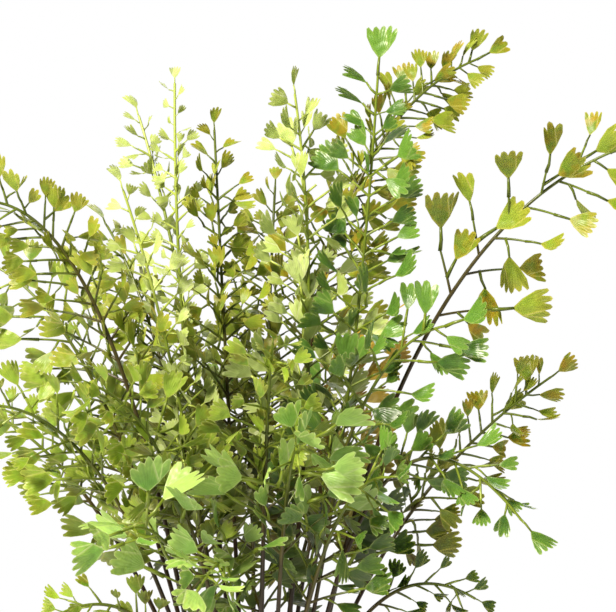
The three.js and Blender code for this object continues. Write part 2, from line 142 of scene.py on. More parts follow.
def add_node(tree, kind, inputs=None, stops=(), **settings):
    """Adds a node. Its inputs go by name, or by number where names repeat.

    An input takes a plain value, a hex code if it is a colour, an output to link from, or a
    node, whose first output in use is linked. A list links several. The stops of a colour ramp
    are pairs of a share and a hex code.
    """
    node = tree.nodes.new(kind)
    for name, value in settings.items():
        setattr(node, name, value)
    for key, given_value in (inputs or {}).items():
        socket = node.inputs[key]
        for value in given_value if isinstance(given_value, list) else [given_value]:
            if isinstance(value, bpy.types.Node):
                value = next(output for output in value.outputs if output.enabled)
            if isinstance(value, bpy.types.NodeSocket):
                tree.links.new(value, socket)
            else:
                socket.default_value = colour(value) if socket.type == "RGBA" else value
    for _ in stops[2:]:
        node.color_ramp.elements.new(1)
    for i, (share, code) in enumerate(stops):
        node.color_ramp.elements[i].position = share
        node.color_ramp.elements[i].color = colour(code)
    return node


def new_material(name):
    """A material with an empty tree, and the function that adds a node to it."""
    material = bpy.data.materials.new(name)
    material.use_nodes = True
    material.node_tree.nodes.clear()
    return material, partial(add_node, material.node_tree)


# %% [markdown]
# The floor is pale and plain, and the light is that of a studio: a strong, slightly warm lamp
# high on the left and in front, a weak broad one on the right, one behind, and an even white
# surround that lightens the shadows. The camera sees the surround as pure white. The objects
# get about a ninth of that from it, because a brighter surround would wash out the shade inside
# the plant.

# %% Floor and light
LAMP_COLUMNS = "name place size power colour"
LAMP_ROWS = [
    ("key", (-1.3, -1.5, 1.9), 0.5, 131, "fff6e4"),
    ("fill", (1.6, -1.3, 0.9), 1.2, 8, "ffffff"),
    ("back", (0.5, 1.8, 1.6), 1.2, 16, "ffffff"),
]
SURROUND_LIGHT = 0.11


def table(columns, rows):
    """Each row as a dictionary, with its values under the names of their columns."""
    return [dict(zip(columns.split(), row, strict=True)) for row in rows]


def mesh_from(build, name):
    """The mesh that was built, which ends the building."""
    mesh = bpy.data.meshes.new(name)
    build.to_mesh(mesh)
    build.free()
    return mesh


floor_build = bmesh.new()
bmesh.ops.create_circle(floor_build, cap_ends=True, segments=96, radius=1.1)
floor = new_object("studio_floor", mesh_from(floor_build, "studio_floor"))
# Matt wall paint on a studio floor: nearly white, with no shine to mirror the pot.
floor_paint, add = new_material("matt_white_paint")
paint = add("ShaderNodeBsdfPrincipled", {"Base Color": "f4f4f2", "Roughness": 0.9})
add("ShaderNodeOutputMaterial", {"Surface": paint})
floor.data.materials.append(floor_paint)
floor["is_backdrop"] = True

for lamp in table(LAMP_COLUMNS, LAMP_ROWS):
    data = bpy.data.lights.new(lamp["name"], "AREA")
    data.size = lamp["size"]
    data.energy = lamp["power"]
    data.color = colour(lamp["colour"])[:3]
    light = new_object(lamp["name"], data)
    light.location = lamp["place"]
    light.rotation_euler = aimed(CAMERA_TARGET - Vector(lamp["place"]))

surround = bpy.data.worlds.new("surround")
surround.use_nodes = True
surround.node_tree.nodes.clear()
add = partial(add_node, surround.node_tree)
strength = add("ShaderNodeMath", {
    0: add("ShaderNodeLightPath"), 1: 1 - SURROUND_LIGHT, 2: SURROUND_LIGHT,
}, operation="MULTIPLY_ADD")
backdrop = add("ShaderNodeBackground", {"Color": "ffffff", "Strength": strength})
add("ShaderNodeOutputWorld", {"Surface": backdrop})
bpy.context.scene.world = surround
bpy.context.scene.view_settings.view_transform = "Standard"
print("lamps:", len(LAMP_ROWS))

# %% [markdown]
# Each frond has one row in a table: where its tip is, how far out and up its stem bends, which
# way its flat side faces, where its leaves begin, how long its side branches and how wide its
# leaflets are, how far up it branches on both sides, how young even its oldest leaflets are, and
# its tone. The rows were chosen from the picture. Lengths in this part of the script are
# in millimetres.
#
# Sizes and angles that should look random come from `spread`. The nth number steps by an
# irrational share each time, so the numbers never repeat and never bunch, and they are the same
# on each run. The other helpers turn directions in space.

# %% The fronds' table and the numbers that spread them
FROND_COLUMNS = "tip out up turn bare branch leaf twigs young tone"
FROND_ROWS = [
    ((210, -40, 446), 0.24, 0.84, 15, 0.53, 38, 21, 0.0, 0.1, "olive"),
    ((73, -30, 492), 0.75, 0.42, -20, 0.28, 38, 18, 1.0, 0, "green"),
    ((137, 60, 503), -0.15, 0.88, 20, 0.38, 34, 14, 1.0, 0, "olive"),
    ((24, -20, 480), 2.4, 0.6, 35, 0.42, 38, 15, 0.9, 0, "pale"),
    ((-51, 75, 488), 1.0, 0.52, -30, 0.38, 18, 9, 0.3, 0, "pale"),
    ((-75, 105, 468), 0.37, 0.68, 40, 0.42, 18, 11, 0.0, 0, "pale"),
    ((-77, -30, 423), 0.27, 0.6, -35, 0.32, 26, 12, 0.5, 0, "pale"),
    ((-166, -50, 416), 0.38, 1.06, -25, 0.38, 38, 14, 0.6, 0.6, "olive"),
    ((-172, 80, 378), 0.4, 0.9, 20, 0.34, 40, 16, 0.5, 0, "lime"),
    ((-164, -60, 298), 0.4, 1.05, -35, 0.3, 42, 16, 0.6, 0, "lime"),
    ((-162, 40, 286), 0.4, 0.8, 15, 0.56, 24, 13, 0.6, 0, "lime"),
    ((-116, -70, 176), 0.42, 1.3, -40, 0.42, 14, 11, 0.3, 0, "lime"),
    ((182, 60, 306), 0.24, 0.66, 30, 0.44, 24, 15, 0.9, 0, "olive"),
    ((156, -65, 232), 0.3, 1.75, 35, 0.46, 22, 15, 0.3, 0, "green"),
    ((112, -75, 346), 0.25, 0.95, 10, 0.3, 28, 19, 0.3, 0, "green"),
    ((134, 25, 173), 0.4, 1.45, -25, 0.46, 14, 11, 0.0, 0, "green"),
    ((12, -118, 338), 0.45, 0.85, 0, 0.4, 36, 13, 0.4, 0, "lime"),
    ((28, -140, 284), 0.4, 1.0, 20, 0.34, 42, 22, 0.4, 0, "fresh"),
    ((-74, -122, 232), 0.4, 1.1, -20, 0.34, 34, 24, 0.5, 0, "fresh"),
    ((-92, -100, 314), 0.35, 0.9, 10, 0.28, 44, 16, 0.8, 0, "lime"),
    ((-28, -138, 204), 0.4, 1.3, 0, 0.26, 40, 18, 0.95, 0, "fresh"),
    ((78, -112, 262), 0.4, 1.0, -10, 0.28, 30, 17, 0.2, 0, "green"),
    ((-26, 60, 459), 0.6, 0.6, 25, 0.34, 42, 13, 0.8, 0.4, "olive"),
    ((11, 105, 423), 0.4, 0.7, 0, 0.3, 44, 13, 0.9, 0.4, "olive"),
    ((80, 115, 336), 0.4, 0.85, -35, 0.3, 36, 14, 0.8, 0, "ochre"),
    ((74, 140, 258), 0.4, 1.1, -15, 0.28, 34, 14, 0.6, 0, "ochre"),
    ((-96, 120, 398), 0.35, 0.75, 35, 0.34, 42, 14, 0.7, 0.4, "olive"),
    ((-72, 145, 262), 0.4, 1.1, 20, 0.28, 40, 14, 0.9, 0, "green"),
    ((-6, 160, 312), 0.4, 0.95, 0, 0.28, 44, 14, 0.9, 0, "green"),
]
FRONDS = table(FROND_COLUMNS, FROND_ROWS)
STEPS = {"golden": (math.sqrt(5) - 1) / 2, "two": math.sqrt(2) - 1, "three": math.sqrt(3) - 1}
UP = np.array((0.0, 0.0, 1.0))


def spread(n, step):
    """A share from 0 to 1 for the nth piece."""
    return (n * STEPS[step]) % 1


def to_and_fro(k):
    """Step k of 0, +1, -1, +2, -2 and so on."""
    return math.ceil(k / 2) * (1 if k % 2 else -1)


def lerp(start, end, share):
    return start + (end - start) * share


def unit(v):
    return v / np.linalg.norm(v)


def turned_about(v, axis, degrees):
    """v turned about a unit axis."""
    angle = math.radians(degrees)
    along = axis * np.dot(axis, v)
    return along + (v - along) * math.cos(angle) + np.cross(axis, v) * math.sin(angle)


def square_to(direction, v):
    """The unit part of v that is square to a unit direction."""
    return unit(v - direction * np.dot(v, direction))


print(len(FRONDS), "fronds")

# %% [markdown]
# Stems and leaflets of different fronds are kept apart. Each is also described as a few rods
# with round ends, and a new one is tried in several poses until its rods are clear of those of
# all the other fronds. NumPy measures one rod against all the near ones at once.

# %% Room between the stems and leaflets
MOST_RODS = 20000
NEARLY_PARALLEL = 1e-9
rods = {key: np.zeros((MOST_RODS, 3)) for key in ("start", "run", "middle")}
rods |= {key: np.zeros(MOST_RODS) for key in ("half", "radius", "owner")}
rod_count = 0


def distances(start, run, starts, runs):
    """The least distance from the middle line of one rod to each of several others."""
    between = start - starts
    aa = run @ run
    bb = np.einsum("ij,ij->i", runs, runs)
    ab = runs @ run
    c = between @ run
    f = np.einsum("ij,ij->i", runs, between)
    across = aa * bb - ab * ab
    crossed = across > NEARLY_PARALLEL
    s = np.where(crossed, np.clip((ab * f - c * bb) / np.where(crossed, across, 1), 0, 1), 0)
    t = np.clip((ab * s + f) / bb, 0, 1)
    s = np.clip((ab * t - c) / aa, 0, 1)
    return np.linalg.norm(between + s[:, None] * run - t[:, None] * runs, axis=1)


def is_clear(owner, shape_rods, room):
    """Whether rods keep this much room from those of all the other fronds."""
    kept = {key: values[:rod_count] for key, values in rods.items()}
    for start, end, radius in shape_rods:
        run = end - start
        reach = kept["half"] + np.linalg.norm(run) / 2 + kept["radius"] + radius + room
        apart = np.linalg.norm(kept["middle"] - (start + end) / 2, axis=1)
        near = np.nonzero((apart < reach) & (kept["owner"] != owner))[0]
        gaps = distances(start, run, kept["start"][near], kept["run"][near])
        if np.any(gaps <= kept["radius"][near] + radius + room):
            return False
    return True


def settle(owner, shapes, room):
    """Keeps the first of several shapes that has room, and returns it, or None."""
    global rod_count
    for shape in shapes:
        if not is_clear(owner, shape["rods"], room):
            continue
        for start, end, radius in shape["rods"]:
            run = end - start
            values = (start, run, (start + end) / 2, np.linalg.norm(run) / 2, radius, owner)
            for column, value in zip(rods.values(), values, strict=True):
                column[rod_count] = value
            rod_count += 1
        return shape
    return None


print("columns kept of each rod:", ", ".join(rods))

# %% [markdown]
# A frond's stem rises steeply from its foot in the soil and leans over towards its tip, which a
# curve with one bend describes well. The lower part is the stipe, and the leafy part above it
# is the rachis. The frame keeps a stem as a few straight lengths. A `Stem` here has those, for
# the rule, and the smooth curve behind them, which the finer stem follows.

# %% Curves for the stems


def on_bend(corners, t):
    """The point at a share t of the curve that leaves one corner and rounds the next."""
    start, bend, end = corners
    return (1 - t) ** 2 * start + 2 * (1 - t) * t * bend + t * t * end


class Stem:
    """Part of a curve with one bend, as straight lengths and as the curve itself."""

    def __init__(self, corners, start, end, steps):
        self.corners = corners
        self.range = (start, end)
        self.points = self.along_curve(steps)

    def smooth(self, share):
        """A point of the curve."""
        return on_bend(self.corners, lerp(*self.range, share))

    def along_curve(self, steps):
        """Points of the curve from its start to its end."""
        return [self.smooth(i / steps) for i in range(steps + 1)]

    def spot(self, share):
        """A point of the straight lengths, which way they run there, and how far the curve is."""
        steps = len(self.points) - 1
        k = min(math.floor(share * steps), steps - 1)
        place = lerp(self.points[k], self.points[k + 1], share * steps - k)
        return place, unit(self.points[k + 1] - self.points[k]), self.smooth(share) - place


def stem_rods(points, start_radius, end_radius):
    """A rod for each straight length, with its radius at half way."""
    steps = len(points) - 1
    radii = [lerp(start_radius, end_radius, (k + 0.5) / steps) for k in range(steps)]
    return list(zip(points, points[1:], radii))


# %% [markdown]
# The stems stand in a clump in the middle of the pot, and a frond that reaches far out has its
# foot near the clump's edge. Where a stem comes too near another, its foot moves round the clump
# and its bend sways forth or back, a step at a time to either side, until it has room.

# %% Stems of the fronds
FOOT_DEPTH = 78
AIR_HEIGHT = 113
AIR_STEP = 0.01
ROOT_INNER = 6
ROOT_OUTER = 29
FULL_REACH = 180
BEND_DEPTH = 0.4
STIPE_RADIUS = 1.6
NECK_RADIUS = 1.25
RACHIS_TIP_RADIUS = 0.6
STIPE_LENGTHS = 3
RACHIS_LENGTHS = 6
STEM_ROOM = 1.2
STEM_TRIES = 24
FOOT_TURN = 13
BEND_SHIFT = 5


def stem_route(frond, k):
    """The kth way to run a frond's stem: its foot moves round the clump and its bend sways."""
    tip = np.array(frond["tip"], float)
    reach = math.hypot(tip[0], tip[1])
    azimuth = math.atan2(tip[1], tip[0]) + math.radians(FOOT_TURN * to_and_fro(k))
    root_radius = lerp(ROOT_INNER, ROOT_OUTER, min(1, reach / FULL_REACH))
    foot = np.array((root_radius * math.cos(azimuth), root_radius * math.sin(azimuth), FOOT_DEPTH))
    shares = (frond["out"], BEND_DEPTH, frond["up"])
    bend = np.array([lerp(a, b, share) for a, b, share in zip(foot, tip, shares)])
    bend[1] += BEND_SHIFT * to_and_fro(k)
    corners = (foot, bend, tip)
    air = 0
    while on_bend(corners, air)[2] < AIR_HEIGHT:
        air += AIR_STEP
    stipe = Stem(corners, air, frond["bare"], STIPE_LENGTHS)
    rachis = Stem(corners, frond["bare"], 1, RACHIS_LENGTHS)
    lower = stem_rods([foot, *stipe.points], STIPE_RADIUS, NECK_RADIUS)
    upper = stem_rods(rachis.points, NECK_RADIUS, RACHIS_TIP_RADIUS)
    return {"foot": foot, "stipe": stipe, "rachis": rachis, "rods": lower + upper}


routes = []
for i, frond in enumerate(FRONDS):
    routes.append(settle(i, (stem_route(frond, k) for k in range(STEM_TRIES)), STEM_ROOM))
print("stems settled:", len(routes))

# %% [markdown]
# A leaflet stands on a short stalk and faces outwards and a little up, to the light. Each leans
# and spins a bit differently. If it would touch a neighbour of another frond, it is spun
# further, and then bent back, and one that finds no room is left out, as a crowded plant does.

# %% Leaflets
LENGTH_TO_WIDTH = 1.1
STALK_SHARE = 0.5
END_SUNK = 1
LEAF_ROOM = 0.5
LEAF_TRIES = 8
SPINS = 4
SPIN_STEP = 45
BENT_BACK = -35
LEAST_SIZE = 0.75
SIZE_RANGE = 0.45
LEAST_LEAN = 35
LEAN_RANGE = 35
FACES_OUT = 0.4
FACES_UP = 0.35
SIDE_SPIN = 190
END_SPIN = 60
LEAFLET_RODS = [
    ((-0.3, 0), (0.2, 0), 0.08),
    ((0.2, 0), (0.9, 0), 0.12),
    ((0.36, -0.32), (0.36, 0.32), 0.12),
    ((0.74, -0.36), (0.74, 0.36), 0.17),
]
leaflet_count = 0


def leaflet_pose(foot, along, normal, width, k):
    """The kth way to hold a leaflet: spun on its stalk, then bent back."""
    hinge = np.cross(square_to(along, normal), along)
    bent = turned_about(along, hinge, 0 if k < SPINS else BENT_BACK)
    face = turned_about(square_to(bent, normal), bent, SPIN_STEP * to_and_fro(k % SPINS))
    across = np.cross(face, bent)

    def at(share, side):
        return foot + bent * width * (STALK_SHARE + share * LENGTH_TO_WIDTH) + across * side * width

    body = [(at(*start), at(*end), radius * width) for start, end, radius in LEAFLET_RODS]
    return {"foot": foot, "along": bent, "normal": face, "width": width, "rods": body}


def place_leaflet(owner, place, stem, flat, side, width, shift):
    """A leaflet on a stem, in a list that is empty if it finds no room.

    side is +1, -1, or 0 at the stem's end. shift leads from the straight lengths to the curve.
    """
    global leaflet_count
    leaflet_count += 1
    n = leaflet_count
    foot = place + stem * (0 if side else -END_SUNK)
    size = width * (LEAST_SIZE + SIZE_RANGE * spread(n, "golden"))
    lean = LEAST_LEAN + LEAN_RANGE * spread(n, "two")
    along = turned_about(stem, flat, -side * lean)
    outward = unit(np.array((foot[0], foot[1], 0)))
    face = flat + FACES_OUT * outward + FACES_UP * UP
    spin = (SIDE_SPIN if side else END_SPIN) * (spread(n, "three") - 0.5)
    spun = turned_about(square_to(along, face), along, spin)
    poses = (leaflet_pose(foot, along, spun, size, k) for k in range(LEAF_TRIES))
    leaflet = settle(owner, poses, LEAF_ROOM)
    if leaflet is None:
        return []
    return [{**leaflet, "foot": foot + shift, "number": n}]


print("ways to hold a leaflet:", LEAF_TRIES)

# %% [markdown]
# Side branches grow from the rachis by turns to the left and right, shorter towards the tip,
# and the last few nodes carry single leaflets. The frame is allowed few triangles, so it builds
# only every fourth node, and two leaflets in three on a branch.

# %% Nodes, branches and their leaflets
NODE_SPACING = 0.62
IN_FRAME_EVERY = 4
LEFT_OUT_EVERY = 3
BRANCH_SHARE = 0.84
SHORTEST_BRANCH = 0.9
BRANCH_RADIUS = 0.55
BRANCH_TIP_RADIUS = 0.5
BRANCH_ANGLE = 50
BRANCH_SWING = 90
BRANCH_TURN = 24
BRANCH_TRIES = 8
BRANCH_SAG = 0.1
BRANCH_LENGTHS = 2
LEAFLET_SPACING = 0.62
LEAFLET_SETBACK = 0.3
LOWEST_LEAF = 1.1
LEAF_TAPER = 0.2
BACK_FROM = 60
FROND_TILT = 0.25


def rounded(x):
    """The nearest whole number, with halves going up."""
    return math.floor(x + 0.5)


def frond_facing(frond):
    """Which way the flat of a frond faces."""
    front = 1 if frond["tip"][1] > BACK_FROM else -1
    return turned_about(unit(np.array((0, front, FROND_TILT))), UP, frond["turn"])


def frond_nodes(frond, rachis):
    """Where something grows on the rachis, from its start to its tip."""
    leafy_length = sum(np.linalg.norm(b - a) for a, b in zip(rachis.points, rachis.points[1:]))
    count = rounded(leafy_length / (NODE_SPACING * frond["leaf"]))
    nodes = []
    for j in range(1, count):
        share = j / count
        place, stem, shift = rachis.spot(share)
        longest = max(frond["branch"] * (1 - share), SHORTEST_BRANCH * frond["leaf"])
        node = {"share": share, "place": place, "stem": stem, "shift": shift}
        node["in_frame"] = j % IN_FRAME_EVERY == 1
        node["flat"] = square_to(stem, frond_facing(frond))
        node["side"] = 1 if j % 2 else -1
        node["leaf"] = frond["leaf"] * (LOWEST_LEAF - LEAF_TAPER * share)
        node["swing"] = BRANCH_SWING * (spread(j, "golden") - 0.5)
        node["branch"] = longest if share < BRANCH_SHARE else 0
        nodes.append(node)
    return nodes


def branch_routes(node):
    """The ways to run a side branch, each swung further about the rachis."""
    for k in range(BRANCH_TRIES):
        swing = node["swing"] + BRANCH_TURN * to_and_fro(k)
        flat = turned_about(node["flat"], node["stem"], swing)
        along = turned_about(node["stem"], flat, -node["side"] * BRANCH_ANGLE)
        knee = node["place"] + along * 0.5 * node["branch"]
        end = node["place"] + along * node["branch"] - UP * BRANCH_SAG * node["branch"]
        stem = Stem((node["place"], knee, end), 0, 1, BRANCH_LENGTHS)
        body = stem_rods(stem.points, BRANCH_RADIUS, BRANCH_TIP_RADIUS)
        yield {"node": node, "flat": flat, "stem": stem, "rods": body}


def branch_leaflets(owner, branch, in_frame):
    """The leaflets of a branch that the frame holds, or the others."""
    node = branch["node"]
    count = rounded(node["branch"] / (LEAFLET_SPACING * node["leaf"]))
    leaflets = []
    for i in range(1, count + 1):
        if ((count - i) % LEFT_OUT_EVERY != 1) != in_frame:
            continue
        last = i == count
        place, stem, shift = branch["stem"].spot(1 if last else (i - LEAFLET_SETBACK) / count)
        side = 0 if last else (1 if i % 2 else -1)
        flat = square_to(stem, branch["flat"])
        shift = shift + node["shift"]
        leaflets += place_leaflet(owner, place, stem, flat, side, node["leaf"], shift)
    return leaflets


print("ways to run a branch:", BRANCH_TRIES)

# %% [markdown]
# The fronds grow in three passes, because what is placed first gets the best room. The first
# pass grows just what the frame holds, in the frame's order, so that each piece lands where the
# frame has it. The second grows the nodes and leaflets between those. Old fronds are bushier,
# so the third pass adds a shorter branch on the other side of their lower nodes.

# %% Grow the fronds
OPPOSITE_SHARE = 0.7
IN_FRAME_ONLY = (True,)
IN_FULL = (True, False)


def grow_node(owner, node, grown, halves):
    """A single leaflet, or a branch with leaflets: those that the frame holds, the others or both."""
    if not node["branch"]:
        where = (node["place"], node["stem"], node["flat"], node["side"], node["leaf"])
        grown["leaflets"] += place_leaflet(owner, *where, node["shift"])
        return
    branch = settle(owner, branch_routes(node), STEM_ROOM)
    if branch is not None:
        grown["branches"].append(branch)
        for in_frame in halves:
            grown["leaflets"] += branch_leaflets(owner, branch, in_frame)


def opposite(node):
    """A node for a shorter branch on the other side."""
    shorter = OPPOSITE_SHARE * node["branch"]
    return {**node, "side": -node["side"], "swing": -node["swing"], "branch": shorter}


plants = []
for i, (frond, route) in enumerate(zip(FRONDS, routes)):
    nodes = frond_nodes(frond, route["rachis"])
    grown = {"frond": frond, "route": route, "nodes": nodes, "branches": [], "leaflets": []}
    for node in nodes:
        if node["in_frame"]:
            grow_node(i, node, grown, IN_FRAME_ONLY)
    place, stem, shift = route["rachis"].spot(1)
    flat = square_to(stem, frond_facing(frond))
    grown["leaflets"] += place_leaflet(i, place, stem, flat, 0, frond["leaf"], shift)
    plants.append(grown)
print("leaflets that the frame holds too:", sum(len(grown["leaflets"]) for grown in plants))

for i, grown in enumerate(plants):
    for branch in grown["branches"]:
        grown["leaflets"] += branch_leaflets(i, branch, False)
    for node in grown["nodes"]:
        if not node["in_frame"]:
            grow_node(i, node, grown, IN_FULL)
for i, grown in enumerate(plants):
    for node in grown["nodes"]:
        if node["share"] < grown["frond"]["twigs"]:
            grow_node(i, opposite(node), grown, IN_FULL)
print("leaflets in all:", sum(len(grown["leaflets"]) for grown in plants))

# %% [markdown]
# A leaflet is a thin green blade, narrow at its stalk and widening to a row of blunt teeth. It
# could be drawn by hand, but the plant needs several shapes of it, so a rule makes them: rows
# of points from the stalk outwards, with few points near the stalk and three for the tip of
# each tooth. Triangles join each row to the next. There are hundreds of leaflets, so each has
# only a few dozen faces.

# %% Outline of a blade
SHAPE_COLUMNS = "teeth depth breadth cup curl lean"
SHAPE_ROWS = [
    (5, 0.2, 0.98, 1.2, 0.6, 0.0),
    (4, 0.24, 0.92, 1.8, 0.8, 0.05),
    (5, 0.18, 1.06, 0.8, -0.5, -0.04),
    (4, 0.22, 0.86, 2.2, 1.0, -0.06),
    (3, 0.24, 0.78, 1.5, -0.8, 0.04),
    (5, 0.22, 0.96, -1.0, 0.7, 0.03),
]
SHAPES = table(SHAPE_COLUMNS, SHAPE_ROWS)
FOOT_ROW = [(0, 0)]
LOWER_ROW = [(-0.24, 0.25), (0, 0.28), (0.24, 0.25)]
SHOULDER = (0.44, 0.58)
TIP_SPREAD = 0.53
TIP_WIDTH = 0.31
TIP_CORNERS = [(-1, 0.06), (0, 0), (1, 0.05)]
TIP_ROUNDING = 0.2
TIP_WAVER = 0.05
MIDDLE_SPREAD = 0.49
MIDDLE_DROP = 0.02
NOTCH_SPREAD = 0.48
NOTCH_ROUNDING = 0.17


def blade_rows(shape):
    """The blade's points in rows, from the stalk outwards.

    A point is [across, along], in shares of the blade's width and length. The rows are the
    foot, three points, the row where the teeth begin, and three points for each tooth's tip. In
    the third row the middles of the teeth and the notches between them take turns.
    """
    teeth = shape["teeth"]
    starts = [(-SHOULDER[0], SHOULDER[1])]
    tips = []
    for i in range(teeth):
        middle = (2 * i + 1) / teeth - 1
        # The steps of 5 and 9 only make the teeth of each shape differ.
        waver = TIP_WAVER * math.sin(5 * i + 9 * shape["curl"])
        length = 1 - TIP_ROUNDING * middle**2 + waver
        narrow = TIP_WIDTH / teeth
        centre = TIP_SPREAD * middle
        tips.append([(centre + side * narrow, length - drop) for side, drop in TIP_CORNERS])
        starts.append((MIDDLE_SPREAD * middle, length - shape["depth"] - MIDDLE_DROP))
        if i < teeth - 1:
            notch = 2 * (i + 1) / teeth - 1
            starts.append((NOTCH_SPREAD * notch, 1 - NOTCH_ROUNDING * notch**2 - shape["depth"]))
    starts.append(SHOULDER)
    return FOOT_ROW, LOWER_ROW, starts, tips


def on_arc(length, bend):
    """Where a point lands that lies a length along a strip bent to an arc: along, and raised."""
    return math.sin(bend * length) / bend, (1 - math.cos(bend * length)) / bend


def zipped(lower, upper):
    """Triangles between two rows of vertices that have different counts."""
    faces = []
    a = b = 0
    while a < len(lower) - 1 or b < len(upper) - 1:
        next_a = (a + 1) / (len(lower) - 1) if a < len(lower) - 1 else 2
        next_b = (b + 1) / (len(upper) - 1) if b < len(upper) - 1 else 2
        if next_a <= next_b:
            faces.append((lower[a], lower[a + 1], upper[b]))
            a += 1
        else:
            faces.append((lower[a], upper[b + 1], upper[b]))
            b += 1
    return faces


print("shapes of leaflet:", len(SHAPES))

# %% [markdown]
# A real blade is never flat. Each shape is cupped across and curled along, as a strip of paper
# bends. A second layer a little behind makes the blade a closed body, and the edge where the
# two meet is marked sharp, so that light falls on each side as on a thin sheet. A four-sided
# stalk with closed ends carries it.
#
# The blade's own map, UVMap, tells the material where the stalk and the teeth are. The
# attribute `underside` tells it which side it is on, and another attribute marks the thin edge,
# where a painted highlight goes.

# %% Shapes of the leaflet
BLADE_HALF_THICKNESS = 0.014
CUP_AT_FOOT = 0.3
CURL_RISE = 0.7
WAVE = 0.04
WAVE_PACE = 8
STALK_RADIUS = 0.045
STALK_SWELL = 1.25
STALK_TAPER = 0.35
STALK_BOW = 0.03
STALK_SIDES = 4
STALK_RINGS = (-0.04, 0.5, 1.12)


def circle(radius, count):
    """Points evenly round a circle."""
    turns = [2 * math.pi * i / count for i in range(count)]
    return [(radius * math.cos(a), radius * math.sin(a)) for a in turns]


def skinned(build, rings):
    """Faces from each ring of vertices to the next. A ring may be one vertex many times."""
    faces = []
    for lower, upper in zip(rings, rings[1:]):
        for i in range(len(lower)):
            j = (i + 1) % len(lower)
            corners = dict.fromkeys((lower[i], lower[j], upper[j], upper[i]))
            faces.append(build.faces.new(list(corners)))
    return faces


def leaflet_shape(number, shape):
    """One leaflet, one unit wide, as an object. Its blade runs along +Z and faces +Y."""
    build = bmesh.new()
    uv = build.loops.layers.uv.new("UVMap")
    underside = build.faces.layers.float.new("underside")
    is_stalk = build.faces.layers.bool.new("is_stalk")
    is_rim = build.verts.layers.float.new("rim")
    foot, middle_row, starts, tips = blade_rows(shape)
    edge_points = {}

    def blade_point(spot, layer, inner):
        """A point of one layer. The two layers share the points of the blade's edge."""
        if not inner and spot in edge_points:
            return edge_points[spot]
        across, side_rise = on_arc(shape["breadth"] * spot[0], shape["cup"])
        along, end_rise = on_arc(spot[1], shape["curl"])
        wave = WAVE * along * math.sin(WAVE_PACE * across + 3 * shape["curl"])
        skin = layer * BLADE_HALF_THICKNESS if inner else 0
        rise = lerp(CUP_AT_FOOT, 1, along) * side_rise + CURL_RISE * end_rise + wave + skin
        reach = STALK_SHARE + along * LENGTH_TO_WIDTH
        vert = build.verts.new((across + shape["lean"] * along, rise, reach))
        if not inner:
            vert[is_rim] = 1.0
            edge_points[spot] = vert
        return vert

    for layer in (1, -1):
        low = [blade_point(foot[0], layer, False)]
        middle = [blade_point(spot, layer, i == 1) for i, spot in enumerate(middle_row)]
        high = [blade_point(spot, layer, i % 2 == 1) for i, spot in enumerate(starts)]
        faces = zipped(low, middle) + zipped(middle, high)
        for i, tooth in enumerate(tips):
            start, centre, end = high[2 * i : 2 * i + 3]
            edge = [start, *(blade_point(spot, layer, False) for spot in tooth), end]
            faces += [(a, centre, b) for a, b in zip(edge, edge[1:])]
        for corners in faces:
            build.faces.new(corners)[underside] = 0.0 if layer > 0 else 1.0
    for edge in build.edges:
        edge.smooth = len({face[underside] for face in edge.link_faces}) == 1
    rings = []
    for share in STALK_RINGS:
        bow = STALK_BOW * math.sin(math.pi * share)
        ring = circle(STALK_RADIUS * (STALK_SWELL - STALK_TAPER * share), STALK_SIDES)
        rings.append([build.verts.new((x, bow + y, share * STALK_SHARE)) for x, y in ring])
    stalk = skinned(build, rings)
    stalk += [build.faces.new(corners) for corners in (rings[0][::-1], rings[-1])]
    for face in stalk:
        face[is_stalk] = True
    bmesh.ops.recalc_face_normals(build, faces=build.faces)
    for face in build.faces:
        face.smooth = True
        for loop in face.loops:
            x, _, z = loop.vert.co
            loop[uv].uv = (x + 0.5, (z - STALK_SHARE) / LENGTH_TO_WIDTH)
    name = f"leaflet_{number}"
    return bpy.data.objects.new(name, mesh_from(build, name))


shapes = bpy.data.collections.new("leaflet_shapes")
bpy.context.scene.collection.children.link(shapes)
for number, shape in enumerate(SHAPES):
    shapes.objects.link(leaflet_shape(number, shape))

# %% [markdown]
# The stems of a maidenhair fern are wiry and polished: nearly black at the foot, brown higher
# up, and green where they are young. The attribute `greening` runs from 0 at the foot to about 1
# in the youngest stems, and the colour follows it. A little noise keeps the change from running
# at one height on every stem, and finer noise roughens the rind, which is never quite smooth.

# %% Finish of the stems
STEM_COLOURS = [
    (0.1, "1a1107"),
    (0.4, "30200a"),
    (0.54, "423c10"),
    (0.68, "526018"),
    (0.88, "788a2a"),
    (1.0, "acbc54"),
]
PATCH_SWAY = 0.16

# Lignified fern stem: a hard, polished rind that gives a narrow bright line along each stem.
wiry_stem, add = new_material("wiry_fern_stem")
place = add("ShaderNodeTexCoord").outputs["Object"]
greening = add("ShaderNodeAttribute", attribute_name="greening").outputs["Fac"]
patches = add("ShaderNodeTexNoise", {"Vector": place, "Scale": 1 / (8 * MM)})
swayed = add("ShaderNodeMath", {0: patches, 1: PATCH_SWAY, 2: greening}, operation="MULTIPLY_ADD")
rind = add("ShaderNodeValToRGB", {"Fac": swayed}, stops=STEM_COLOURS)
ridges = add("ShaderNodeTexNoise", {"Vector": place, "Scale": 1 / (1.2 * MM)})
relief = add("ShaderNodeBump", {"Height": ridges, "Strength": 0.15, "Distance": 0.2 * MM})
surface = add("ShaderNodeBsdfPrincipled", {
    "Base Color": rind, "Roughness": 0.3, "IOR": 1.45, "Normal": relief,
})
add("ShaderNodeOutputMaterial", {"Surface": surface})
print("nodes in the stem's finish:", len(wiry_stem.node_tree.nodes))
